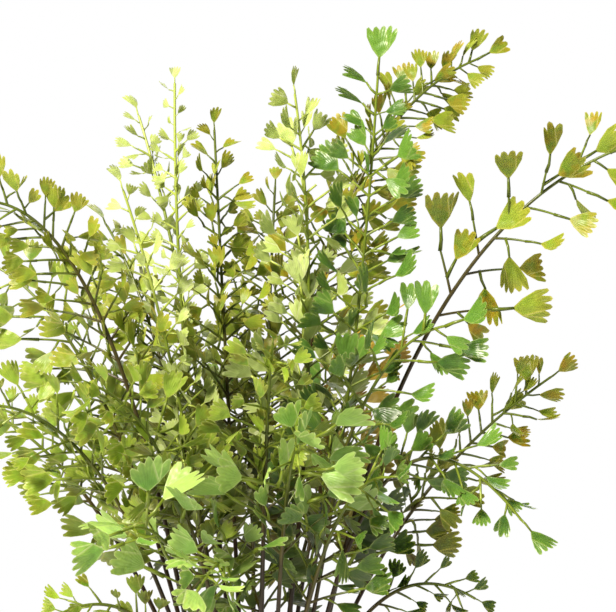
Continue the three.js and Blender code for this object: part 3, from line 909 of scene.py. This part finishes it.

# %% [markdown]
# The leaflets are thin and waxy. Their colour changes from frond to frond, from leaflet to
# leaflet, and over each blade. The older a leaflet is, the more it is mottled with brown. The
# teeth are yellower, and a painted highlight makes the thin rim the palest. Light passes through
# so thin a blade, and subsurface scattering shows that. The underside is a little greyer. Painted
# shade darkens the leaflets deep in the plant: the value falls towards its heart, where the
# other fronds would shade them.
#
# The veins are drawn from the blade's own map. The angle about the stalk, times a number, makes
# a fan of ridges, and noise makes them waver. On a real leaflet they are about 0.6 mm apart,
# which is finer than the picture shows, so they are drawn about 2 mm apart at the teeth. Soft
# puckers, 4 mm across, break up the highlights. One function makes the finish, with the colours
# of each tone given by name.

# %% Finish of the leaflets
# The rim colour of each tone is a painted highlight on the leaflet's thin edge.
TONE_COLUMNS = "name main other spots teeth rim mottle rough"
TONE_ROWS = [
    ("pale", "a2b858", "bcd07c", "9ca84c", "c0d080", "d4dc98", 0.6, 0.4),
    ("lime", "587e1e", "92b036", "70701c", "a0ae3e", "b4bc4c", 0.9, 0.32),
    ("fresh", "6a9e3a", "aace6a", "567e2e", "aac464", "bad680", 0.3, 0.34),
    ("green", "3a6220", "648e34", "364c18", "6c9038", "84a248", 0.4, 0.26),
    ("olive", "5e7c1e", "88a02e", "a08214", "9c9a32", "bcb440", 0.95, 0.36),
    ("ochre", "96740a", "bc9610", "80540a", "b08814", "c49e22", 1.0, 0.5),
]
UNDERSIDE_COLOUR = "a4b464"
# Centre of the painted shade: leaflets near this point are darkened, as if other fronds shaded them.
PAINTED_SHADE_CENTRE = (30 * MM, 30 * MM, 200 * MM)
UNDERSIDE_GREY = 0.15
VEIN_TURNS = 56
VEIN_WAVER = 7.0
VEINS_MEET = (0.5, -0.12)
ROUGHER_SPOTS = 0.14


def leaf_finish(looks):
    # Waxy leaf skin over green tissue: soft broad highlights, and light that glows through.
    material, add = new_material("waxy_leaf_" + looks["name"])
    place = add("ShaderNodeTexCoord").outputs["Object"]
    tint, below, rim = (
        add("ShaderNodeAttribute", attribute_name=name).outputs["Fac"]
        for name in ("tint", "underside", "rim")
    )

    blade = add("ShaderNodeSeparateXYZ", {"Vector": add("ShaderNodeUVMap", uv_map="UVMap")})
    sideways = add("ShaderNodeMath", {0: blade.outputs["X"], 1: VEINS_MEET[0]}, operation="SUBTRACT")
    outwards = add("ShaderNodeMath", {0: blade.outputs["Y"], 1: VEINS_MEET[1]}, operation="SUBTRACT")
    angle = add("ShaderNodeMath", {0: sideways, 1: outwards}, operation="ARCTAN2")
    turns = add("ShaderNodeMath", {0: angle, 1: VEIN_TURNS}, operation="MULTIPLY")
    sway = add("ShaderNodeTexNoise", {"Vector": place, "Scale": 1 / (6 * MM)})
    wavering = add("ShaderNodeMath", {0: sway, 1: VEIN_WAVER, 2: turns}, operation="MULTIPLY_ADD")
    veins = add("ShaderNodeMath", {0: wavering}, operation="SINE")

    spots = add("ShaderNodeTexNoise", {
        "Vector": place, "Scale": 1 / (6 * MM), "Detail": 1.5, "Roughness": 0.5,
    })
    age = add("ShaderNodeMath", {0: 1.0, 1: tint}, operation="SUBTRACT")
    mottling = add("ShaderNodeMath", {0: age, 1: looks["mottle"]}, operation="MULTIPLY")
    at_spots = add("ShaderNodeMapRange", {
        "Value": spots, "From Min": 0.4, "From Max": 0.62, "To Max": mottling,
    })
    at_teeth = add("ShaderNodeMapRange", {
        "Value": blade.outputs["Y"], "From Min": 0.3, "From Max": 1.0, "To Max": 0.7,
    })
    # Painted highlight: the thin rim is mixed towards a pale colour, as if light caught the edge.
    painted_rim_highlight = add("ShaderNodeMapRange", {"Value": rim, "From Min": 0.75, "From Max": 1.0, "To Max": 0.7})
    skin = looks["main"]
    layers = [(tint, "other"), (at_teeth, "teeth"), (at_spots, "spots"), (painted_rim_highlight, "rim")]
    for share, part in layers:
        skin = add("ShaderNodeMix", {"Factor": share, "A": skin, "B": looks[part]}, data_type="RGBA")

    vein_light = add("ShaderNodeMapRange", {
        "Value": veins, "From Min": -1.0, "To Min": 0.95, "To Max": 1.04,
    })
    # Painted shade: the colour's value falls towards the middle of the plant, where other fronds would
    # cast shade.
    from_painted_shade_centre = add("ShaderNodeVectorMath", {0: place, 1: PAINTED_SHADE_CENTRE}, operation="DISTANCE")
    painted_inner_shade = add("ShaderNodeMapRange", {
        "Value": from_painted_shade_centre, "From Min": 60 * MM, "From Max": 160 * MM, "To Min": 0.2,
    })
    value = add("ShaderNodeMath", {0: vein_light, 1: painted_inner_shade}, operation="MULTIPLY")
    veined_and_shaded = add("ShaderNodeHueSaturation", {"Value": value, "Color": skin})
    greyed = add("ShaderNodeMath", {0: below, 1: UNDERSIDE_GREY}, operation="MULTIPLY")
    two_sided = add("ShaderNodeMix", {
        "Factor": greyed, "A": veined_and_shaded, "B": UNDERSIDE_COLOUR,
    }, data_type="RGBA")

    relief = add("ShaderNodeBump", {"Height": veins, "Strength": 0.2, "Distance": 0.16 * MM})
    puckers = add("ShaderNodeTexNoise", {"Vector": place, "Scale": 1 / (4 * MM), "Detail": 0})
    bumps = add("ShaderNodeBump", {
        "Height": puckers, "Strength": 0.6, "Distance": 1.2 * MM, "Normal": relief,
    })
    roughness = add("ShaderNodeMapRange", {
        "Value": spots, "From Min": 0.3, "From Max": 0.7, "To Min": looks["rough"],
        "To Max": looks["rough"] + ROUGHER_SPOTS,
    })
    surface = add("ShaderNodeBsdfPrincipled", {
        "Base Color": two_sided, "Roughness": roughness, "IOR": 1.42, "Normal": bumps,
        "Subsurface Weight": 0.3, "Subsurface Radius": (1.0, 1.0, 0.4),
        "Subsurface Scale": 1.2 * MM,
    })
    add("ShaderNodeOutputMaterial", {"Surface": surface})
    return material


leaf_finishes = {looks["name"]: leaf_finish(looks) for looks in table(TONE_COLUMNS, TONE_ROWS)}
print("leaf finishes:", ", ".join(leaf_finishes))

# %% [markdown]
# The rule has given rows of points for the stems and one point for each leaflet. Geometry Nodes
# dress them. Each frond is first a bare skeleton: a mesh of edges for its stems, with the
# thickness kept at each point, and loose points for its leaflets, which hold the direction,
# facing, width and shape of each. The tree runs a small circle along the edges and sets a
# leaflet on each loose point. Two more fields of the skeleton are for the finishes to read.

# %% The tree that dresses a frond
SHAPING_FIELDS = {
    "radius": "FLOAT",
    "width": "FLOAT",
    "shape": "INT",
    "is_leaflet": "BOOLEAN",
    "along": "FLOAT_VECTOR",
    "facing": "FLOAT_VECTOR",
}
COLOURING_FIELDS = {"greening": "FLOAT", "tint": "FLOAT"}


def new_tree(name, inputs, output):
    """A Geometry Nodes tree, and what a modifier calls each of its inputs.

    An input is given as its name, its kind and its default, which is None where it has none.
    """
    tree = bpy.data.node_groups.new(name, "GeometryNodeTree")
    identifiers = {}
    for label, kind, default in inputs:
        socket = tree.interface.new_socket(label, in_out="INPUT", socket_type=f"NodeSocket{kind}")
        identifiers[label] = socket.identifier
        if default is not None:
            socket.default_value = default
    tree.interface.new_socket(output, in_out="OUTPUT", socket_type="NodeSocketGeometry")
    return tree, identifiers


def dress(host, tree, identifiers, values):
    """Puts a tree on an object, with values for some of its inputs."""
    modifier = host.modifiers.new(tree.name, "NODES")
    modifier.node_group = tree
    for label, value in values.items():
        modifier[identifiers[label]] = value


frond_tree, frond_inputs = new_tree(
    "dress_frond",
    [
        ("Skeleton", "Geometry", None),
        ("Stem sides", "Int", 8),
        ("Leaflet swell", "Float", 1.02),
        ("Leaflet shapes", "Collection", None),
        ("Leaf finish", "Material", None),
        ("Stem finish", "Material", None),
    ],
    "Frond",
)
add = partial(add_node, frond_tree)
given = add("NodeGroupInput").outputs
field = {
    name: add("GeometryNodeInputNamedAttribute", {"Name": name}, data_type=kind)
    for name, kind in {**SHAPING_FIELDS, "is_stalk": "BOOLEAN"}.items()
}
stem_lines = add("GeometryNodeMeshToCurve", {"Mesh": given["Skeleton"]})
round_section = add("GeometryNodeCurvePrimitiveCircle", {
    "Resolution": given["Stem sides"], "Radius": 1,
})
tubes = add("GeometryNodeCurveToMesh", {
    "Curve": stem_lines, "Profile Curve": round_section, "Scale": field["radius"],
    "Fill Caps": True,
})
stems = add("GeometryNodeSetMaterial", {
    "Geometry": add("GeometryNodeSetShadeSmooth", {"Geometry": tubes}),
    "Material": given["Stem finish"],
})

spots = add("GeometryNodeMeshToPoints", {"Mesh": given["Skeleton"], "Selection": field["is_leaflet"]})
several = add("GeometryNodeCollectionInfo", {
    "Collection": given["Leaflet shapes"], "Separate Children": True, "Reset Children": True,
})
held = add("FunctionNodeAxesToRotation", {
    "Primary Axis": field["along"], "Secondary Axis": field["facing"],
}, primary_axis="Z", secondary_axis="Y")
swollen = add("ShaderNodeMath", {0: field["width"], 1: given["Leaflet swell"]}, operation="MULTIPLY")
leaflets = add("GeometryNodeInstanceOnPoints", {
    "Points": spots, "Instance": several, "Pick Instance": True, "Instance Index": field["shape"],
    "Rotation": held, "Scale": swollen,
})
blades = add("GeometryNodeSetMaterial", {
    "Geometry": add("GeometryNodeRealizeInstances", {"Geometry": leaflets}),
    "Material": given["Leaf finish"],
})
with_stalks = add("GeometryNodeSetMaterial", {
    "Geometry": blades, "Selection": field["is_stalk"], "Material": given["Stem finish"],
})
whole = add("GeometryNodeJoinGeometry", {"Geometry": [with_stalks, stems]})
add("NodeGroupOutput", {"Frond": whole})
print("nodes in the tree:", len(frond_tree.nodes))

# %% [markdown]
# The skeletons come next. A stem that was settled as a few straight lengths is now followed
# along its curve, in short steps, so that it bends smoothly. Lengths change from millimetres to
# metres here. The dark stipe and the leafy part above it are two pieces, as in the frame. The
# thin green stems are drawn up to half as thick again as the frame's, or they would hardly show.
# The stems of the palest fronds turn green low down, and those of the olive ones stay brown.

# %% Skeletons
STIPE_STEPS = 26
RACHIS_STEPS = 30
BRANCH_STEPS = 8
STIPE_RADII = (STIPE_RADIUS, NECK_RADIUS)
RACHIS_RADII = (NECK_RADIUS, 1.3 * RACHIS_TIP_RADIUS)
BRANCH_RADII = (1.5 * BRANCH_RADIUS, 1.25 * BRANCH_TIP_RADIUS)
STIPE_GREENING = (0, 0.38)
RACHIS_GREENING = {"pale": (0.46, 1.02), "olive": (0.36, 0.68)}
USUAL_GREENING = (0.4, 0.8)
BRANCH_GREENING = 0.2
STALKS_BROWNER = 0.04


def point(place, **fields):
    """A point of a skeleton, with all its fields."""
    blank = {"radius": 0.0, "greening": 0.0, "tint": 0.0, "width": 0.0, "shape": 0}
    blank |= {"is_leaflet": False, "along": (0, 0, 1), "facing": (0, 1, 0)}
    return {"place": place * MM, **blank, **fields}


def stem_line(places, radii, greens):
    """The points of one stem, with its radius and greening from start to end."""
    last = len(places) - 1
    return [
        point(place, radius=lerp(*radii, k / last) * MM, greening=lerp(*greens, k / last))
        for k, place in enumerate(places)
    ]


def leaflet_point(leaflet, greening, young):
    """A loose point that a leaflet is to stand on."""
    n = leaflet["number"]
    return point(
        leaflet["foot"],
        is_leaflet=True,
        along=tuple(leaflet["along"]),
        facing=tuple(leaflet["normal"]),
        width=leaflet["width"] * MM,
        tint=lerp(young, 1, spread(3 * n, "golden")),
        shape=int(len(SHAPES) * spread(n + 7, "three")),
        greening=greening,
    )


def skeleton(name, lines, loose, leaf_material):
    """A mesh object of stem lines and loose leaflet points, with the tree that dresses it."""
    points = [p for line in lines for p in line] + loose
    edges = []
    start = 0
    for line in lines:
        edges += [(start + k, start + k + 1) for k in range(len(line) - 1)]
        start += len(line)
    mesh = bpy.data.meshes.new(name)
    mesh.from_pydata([p["place"] for p in points], edges, [])
    for field_name, kind in {**SHAPING_FIELDS, **COLOURING_FIELDS}.items():
        attribute = mesh.attributes.new(field_name, kind, "POINT")
        values = np.array([p[field_name] for p in points]).ravel()
        attribute.data.foreach_set("vector" if kind == "FLOAT_VECTOR" else "value", values)
    host = new_object(name, mesh)
    given = {"Leaflet shapes": shapes, "Leaf finish": leaf_material, "Stem finish": wiry_stem}
    dress(host, frond_tree, frond_inputs, given)
    return host


hosts = []
for i, grown in enumerate(plants):
    number = f"{i + 1:02d}"
    route = grown["route"]
    tone = grown["frond"]["tone"]
    curve = [route["foot"], *route["stipe"].along_curve(STIPE_STEPS)]
    stipe_line = stem_line(curve, STIPE_RADII, STIPE_GREENING)
    greens = RACHIS_GREENING.get(tone, USUAL_GREENING)
    lines = [stem_line(route["rachis"].along_curve(RACHIS_STEPS), RACHIS_RADII, greens)]
    for branch in grown["branches"]:
        places = [at + branch["node"]["shift"] for at in branch["stem"].along_curve(BRANCH_STEPS)]
        share = lerp(*greens, branch["node"]["share"])
        lines.append(stem_line(places, BRANCH_RADII, (share, share + BRANCH_GREENING)))
    stalk = greens[1] - STALKS_BROWNER
    young = grown["frond"]["young"]
    loose = [leaflet_point(leaflet, stalk, young) for leaflet in grown["leaflets"]]
    finish = leaf_finishes[tone]
    stipe_host = skeleton(f"stipe_skeleton_{number}", [stipe_line], [], finish)
    frond_host = skeleton(f"frond_skeleton_{number}", lines, loose, finish)
    hosts.append((stipe_host, f"wiry_stipe_{number}", f"stipe_{number}", "stipe"))
    hosts.append((frond_host, f"leafy_frond_{number}", f"frond_{number}", f"leaf_{tone}"))
print("skeletons:", len(hosts))

# %% [markdown]
# The dressed skeletons are still recipes. `new_from_object` on the evaluated object gives the
# plain mesh that comes out, and the skeleton is then removed. The fields that only the tree
# needed go too. Each new piece rides on the part's one body and stands for its node.

# %% Plain meshes


def plain_piece(host, name, graph):
    """The mesh that comes out of an object's modifiers, as an object of its own."""
    mesh = bpy.data.meshes.new_from_object(host.evaluated_get(graph))
    mesh.name = name
    for field_name in SHAPING_FIELDS:
        if field_name in mesh.attributes:
            mesh.attributes.remove(mesh.attributes[field_name])
    return new_object(name, mesh)


def stand_for(piece, slot, node):
    """Hands the piece to the frame: it rides on the one body and replaces its node."""
    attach(piece, "root")
    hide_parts(node)


graph = bpy.context.evaluated_depsgraph_get()
made = [(plain_piece(host, name, graph), node, slot) for host, name, node, slot in hosts]
for host, *_ in hosts:
    bpy.data.objects.remove(host)
for shape in list(shapes.objects):
    bpy.data.objects.remove(shape)
bpy.data.collections.remove(shapes)
for piece, node, slot in made:
    stand_for(piece, slot, node)
print("faces of stems and leaflets:", sum(len(piece.data.polygons) for piece, *_ in made))

# %% [markdown]
# The pot is thrown clay, fired without a glaze: a plain tapering body with a thick rim. A lathe
# shape suits it, a profile turned about the axis. The frame's profile has plain corners, and
# here each corner is softened, as wet fingers and a sponge soften clay. Three drain holes are
# cut with Boolean modifiers.

# %% Pot
FLOOR_CORNER = (38.5, 7)
LIP_CORNER = (59, 118)
POT_CORNERS = [(0, 0), (44, 0), (59, 91), (63.2, 91), (66, 118), LIP_CORNER, FLOOR_CORNER, (0, 7)]
CORNER_REACH = [0, 3.0, 1.0, 1.6, 2.6, 2.2, 5.0, 0]
CORNER_STEPS = 4
POT_SIDES = 128
CREASE_ANGLE = 42
DRAIN_HOLES = 3
DRAIN_CIRCLE = 22
DRAIN_RADIUS = 4.5
DRILL_SIDES = 32
DRILL_FROM = -10
DRILL_TO = 15


def softened(corners, reaches):
    """The profile with each inner corner replaced by a short curve."""
    profile = [corners[0]]
    for before, corner, after, reach in zip(corners, corners[1:], corners[2:], reaches[1:]):
        at = np.array(corner, float)
        start = at + reach * unit(np.array(before) - at)
        end = at + reach * unit(np.array(after) - at)
        steps = range(CORNER_STEPS + 1)
        profile += [tuple(on_bend((start, at, end), step / CORNER_STEPS)) for step in steps]
    return [*profile, corners[-1]]


def lathe(name, profile, sides):
    """A closed solid of revolution from [radius, height] pairs that start and end on the axis."""
    build = bmesh.new()
    rings = []
    for radius, height in profile:
        if radius == 0:
            rings.append([build.verts.new((0, 0, height * MM))] * sides)
        else:
            ring = circle(radius * MM, sides)
            rings.append([build.verts.new((x, y, height * MM)) for x, y in ring])
    for face in skinned(build, rings):
        face.smooth = True
    bmesh.ops.recalc_face_normals(build, faces=build.faces)
    return new_object(name, mesh_from(build, name))


pot_host = lathe("pot_before_drilling", softened(POT_CORNERS, CORNER_REACH), POT_SIDES)
drill_side = [(DRAIN_RADIUS, DRILL_FROM), (DRAIN_RADIUS, DRILL_TO)]
drill_profile = [(0, DRILL_FROM), *drill_side, (0, DRILL_TO)]
drills = []
for x, y in circle(DRAIN_CIRCLE * MM, DRAIN_HOLES):
    drill = lathe("drill", drill_profile, DRILL_SIDES)
    drill.location = (x, y, 0)
    cut = pot_host.modifiers.new("drain_hole", "BOOLEAN")
    cut.object = drill
    cut.solver = "EXACT"
    drills.append(drill)
pot = plain_piece(pot_host, "clay_pot", bpy.context.evaluated_depsgraph_get())
pot.data.set_sharp_from_angle(angle=math.radians(CREASE_ANGLE))
for tool in (pot_host, *drills):
    bpy.data.objects.remove(tool)
stand_for(pot, "pot_terracotta", "pot")
print("faces of the pot:", len(pot.data.polygons))

# %% [markdown]
# Earthenware is porous and dull. Fired clay varies a little in colour, has fine grit in it, and
# keeps faint rings from the wheel. Watering leaves a pale bloom of lime, most of all near the
# foot. Noise at three sizes makes these: 40 mm for the bloom, 6 mm for the clay's colour, and
# 0.8 mm for the grit.

# %% Finish of the pot
CLAY_COLOURS = [(0.3, "8c563c"), (0.5, "9a6447"), (0.72, "a87355")]

# Fired clay with no glaze: no shine at all, and a grain that shows close to.
earthenware, add = new_material("fired_earthenware")
place = add("ShaderNodeTexCoord").outputs["Object"]
height = add("ShaderNodeSeparateXYZ", {"Vector": place}).outputs["Z"]
clay_noise = add("ShaderNodeTexNoise", {"Vector": place, "Scale": 1 / (6 * MM), "Detail": 5})
clay = add("ShaderNodeValToRGB", {"Fac": clay_noise}, stops=CLAY_COLOURS)
bloom_noise = add("ShaderNodeTexNoise", {
    "Vector": place, "Scale": 1 / (40 * MM), "Detail": 6, "Roughness": 0.62,
})
low_down = add("ShaderNodeMapRange", {
    "Value": height, "From Min": 0.0, "From Max": 70 * MM, "To Min": 0.12, "To Max": 0.0,
})
bloom = add("ShaderNodeMapRange", {
    "Value": add("ShaderNodeMath", {0: bloom_noise, 1: low_down}, operation="ADD"), "From Min": 0.5,
    "From Max": 0.85, "To Max": 0.45,
})
bloomed = add("ShaderNodeMix", {"Factor": bloom, "A": clay, "B": "c4ae9a"}, data_type="RGBA")
rings = add("ShaderNodeTexWave", {
    "Vector": place, "Scale": 1 / (14 * MM), "Distortion": 1.2, "Detail": 2,
}, bands_direction="Z")
ring_bump = add("ShaderNodeBump", {
    "Height": rings.outputs["Fac"], "Strength": 0.12, "Distance": 0.5 * MM,
})
grit = add("ShaderNodeTexNoise", {"Vector": place, "Scale": 1 / (0.8 * MM), "Detail": 3})
grit_bump = add("ShaderNodeBump", {
    "Height": grit, "Strength": 0.45, "Distance": 0.35 * MM, "Normal": ring_bump,
})
surface = add("ShaderNodeBsdfPrincipled", {
    "Base Color": bloomed, "Roughness": 0.88, "IOR": 1.5, "Normal": grit_bump,
})
add("ShaderNodeOutputMaterial", {"Surface": surface})
pot.data.materials.clear()
pot.data.materials.append(earthenware)
print("nodes in the pot's finish:", len(earthenware.node_tree.nodes))

# %% [markdown]
# Potting soil is dark, coarse and a little mounded. Its top is a fine grid of rings whose
# height is moved by noise, in lumps of about 11 mm and 3 mm. The field `on_top` is 1 on the top
# and 0 elsewhere.

# %% Soil
SOIL_EDGE = 101
SOIL_MIDDLE = 106
SOIL_RINGS = 22
SOIL_SIDES = 72
SOIL_FOOT_INSET = 2
SEAT_GAP = 0.3
LEVEL_EDGE = 0.98
COARSE_LUMPS = 90
COARSE_RISE = 0.9
FINE_LUMPS = 330
FINE_RISE = 0.8
FINE_FROM = Vector((5, 1, 3))


def inner_radius(height):
    """The pot's inner wall is a straight cone."""
    share = (height - FLOOR_CORNER[1]) / (LIP_CORNER[1] - FLOOR_CORNER[1])
    return lerp(FLOOR_CORNER[0], LIP_CORNER[0], share)


soil_bottom = FLOOR_CORNER[1] + SEAT_GAP
soil_radius = inner_radius(SOIL_EDGE) - SEAT_GAP
soil_profile = [(0, soil_bottom), (FLOOR_CORNER[0] - SOIL_FOOT_INSET, soil_bottom)]
for k in range(SOIL_RINGS + 1):
    share = 1 - k / SOIL_RINGS
    rise = (SOIL_MIDDLE - SOIL_EDGE) * (1 - share**2)
    soil_profile.append((soil_radius * share, SOIL_EDGE + rise))
soil_host = lathe("soil_before_crumbs", soil_profile, SOIL_SIDES)
on_top = soil_host.data.attributes.new("on_top", "FLOAT", "POINT")
for vertex in soil_host.data.vertices:
    outwards = math.hypot(vertex.co.x, vertex.co.y) / (soil_radius * MM)
    top = vertex.co.z > (SOIL_EDGE - 1) * MM
    on_top.data[vertex.index].value = 1.0 if top else 0.0
    if top and outwards < LEVEL_EDGE:
        coarse = noise.noise(vertex.co * COARSE_LUMPS)
        fine = noise.noise(vertex.co * FINE_LUMPS + FINE_FROM)
        vertex.co.z += (COARSE_RISE * coarse + FINE_RISE * fine) * MM
print("the soil is", round(2 * soil_radius), "mm across")

# %% [markdown]
# Crumbs lie on the soil: bits of bark and peat, with some grit. Geometry Nodes scatter them
# over the faces that are on top, which keeps them off the sides and the underside. Each is the
# same lump, squashed, turned and sized by random numbers with a fixed seed.

# %% The tree that scatters crumbs
ABOUT_A_TURN = 6.28

soil_tree, soil_inputs = new_tree(
    "scatter_crumbs",
    [
        ("Soil", "Geometry", None),
        ("Crumbs per square metre", "Float", 90000.0),
        ("Smallest crumb", "Float", 0.5 * MM),
        ("Largest crumb", "Float", 1.9 * MM),
        ("Seed", "Int", 4),
        ("Soil finish", "Material", None),
        ("Crumb finish", "Material", None),
    ],
    "Soil",
)
add = partial(add_node, soil_tree)
given = add("NodeGroupInput").outputs
top_field = add("GeometryNodeInputNamedAttribute", {"Name": "on_top"}, data_type="FLOAT")
is_top = add("FunctionNodeCompare", {"A": top_field, "B": 0.9}, operation="GREATER_THAN")
spots = add("GeometryNodeDistributePointsOnFaces", {
    "Mesh": given["Soil"], "Selection": is_top, "Density": given["Crumbs per square metre"],
    "Seed": given["Seed"],
})
lump = add("GeometryNodeMeshIcoSphere", {"Radius": 1, "Subdivisions": 1})
squash = add("FunctionNodeRandomValue", {
    "Min": (0.6, 0.35, 0.3), "Max": (1.2, 0.8, 0.6), "Seed": 3,
}, data_type="FLOAT_VECTOR")
breadth = add("FunctionNodeRandomValue", {
    "Min": given["Smallest crumb"], "Max": given["Largest crumb"], "Seed": 5,
}, data_type="FLOAT")
sized = add("ShaderNodeVectorMath", {0: squash, "Scale": breadth}, operation="SCALE")
tumbled = add("FunctionNodeRandomValue", {
    "Min": (0, 0, 0), "Max": (ABOUT_A_TURN, ABOUT_A_TURN, ABOUT_A_TURN), "Seed": 9,
}, data_type="FLOAT_VECTOR")
shade = add("FunctionNodeRandomValue", {"Min": 0.0, "Max": 1.0, "Seed": 12}, data_type="FLOAT")
shaded = add("GeometryNodeStoreNamedAttribute", {
    "Geometry": spots, "Name": "tint", "Value": shade,
}, data_type="FLOAT", domain="POINT")
crumbs = add("GeometryNodeInstanceOnPoints", {
    "Points": shaded, "Instance": lump, "Rotation": tumbled, "Scale": sized,
})
loose_crumbs = add("GeometryNodeSetMaterial", {
    "Geometry": add("GeometryNodeRealizeInstances", {"Geometry": crumbs}),
    "Material": given["Crumb finish"],
})
ground = add("GeometryNodeSetMaterial", {"Geometry": given["Soil"], "Material": given["Soil finish"]})
whole = add("GeometryNodeJoinGeometry", {"Geometry": [loose_crumbs, ground]})
add("NodeGroupOutput", {"Soil": whole})
print("nodes in the tree:", len(soil_tree.nodes))

# %% [markdown]
# Damp peat is nearly black and dull, and moss has settled on it in patches of a few
# centimetres. The crumbs are bark and peat in several browns, and one in twenty is pale grit.

# %% Finish of the soil
PEAT_COLOURS = [(0.32, "17100b"), (0.55, "33241a"), (0.75, "54402c")]
MOSS_COLOURS = [(0.3, "2c3a12"), (0.6, "5a7222"), (0.8, "8a9c3c")]
CRUMB_COLOURS = [
    (0.0, "1d130d"),
    (0.4, "3b291b"),
    (0.8, "5d452d"),
    (0.93, "6f563a"),
    (0.95, "c9c2b2"),
]

# Damp peat: dark and without shine, broken up by fibres about 1.5 mm apart.
damp_peat, add = new_material("damp_peat_with_moss")
place = add("ShaderNodeTexCoord").outputs["Object"]
fibres = add("ShaderNodeTexNoise", {"Vector": place, "Scale": 1 / (1.5 * MM), "Detail": 6})
peat = add("ShaderNodeValToRGB", {"Fac": fibres}, stops=PEAT_COLOURS)
moss = add("ShaderNodeValToRGB", {"Fac": fibres}, stops=MOSS_COLOURS)
moss_noise = add("ShaderNodeTexNoise", {"Vector": place, "Scale": 1 / (26 * MM), "Detail": 4})
mossy = add("ShaderNodeMapRange", {"Value": moss_noise, "From Min": 0.52, "From Max": 0.6})
top_layer = add("ShaderNodeMix", {"Factor": mossy, "A": peat, "B": moss}, data_type="RGBA")
relief = add("ShaderNodeBump", {"Height": fibres, "Strength": 0.9, "Distance": 1.2 * MM})
surface = add("ShaderNodeBsdfPrincipled", {
    "Base Color": top_layer, "Roughness": 0.95, "IOR": 1.35, "Normal": relief,
})
add("ShaderNodeOutputMaterial", {"Surface": surface})

# Bark and grit: dry, rough crumbs, each of one colour.
bark_crumb, add = new_material("bark_and_grit")
tint = add("ShaderNodeAttribute", attribute_name="tint").outputs["Fac"]
crumb_colour = add("ShaderNodeValToRGB", {"Fac": tint}, stops=CRUMB_COLOURS)
surface = add("ShaderNodeBsdfPrincipled", {"Base Color": crumb_colour, "Roughness": 0.9, "IOR": 1.4})
add("ShaderNodeOutputMaterial", {"Surface": surface})

finishes = {"Soil finish": damp_peat, "Crumb finish": bark_crumb}
dress(soil_host, soil_tree, soil_inputs, finishes)
soil = plain_piece(soil_host, "potting_soil", bpy.context.evaluated_depsgraph_get())
bpy.data.objects.remove(soil_host)
stand_for(soil, "soil", "soil")
print("faces of the soil and its crumbs:", len(soil.data.polygons))

# %% [markdown]
# Last, the box of the finished plant is set beside the frame's box and printed, to see how far
# any leaflet reaches past the frame.

# %% Measure and finish
seen_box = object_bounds()
boxes = {"cad": cad_box, "visual": seen_box}
boxes = {name: [list(corner) for corner in box] for name, box in boxes.items()}
print("the plant reaches from", seen_box[0], "to", seen_box[1])
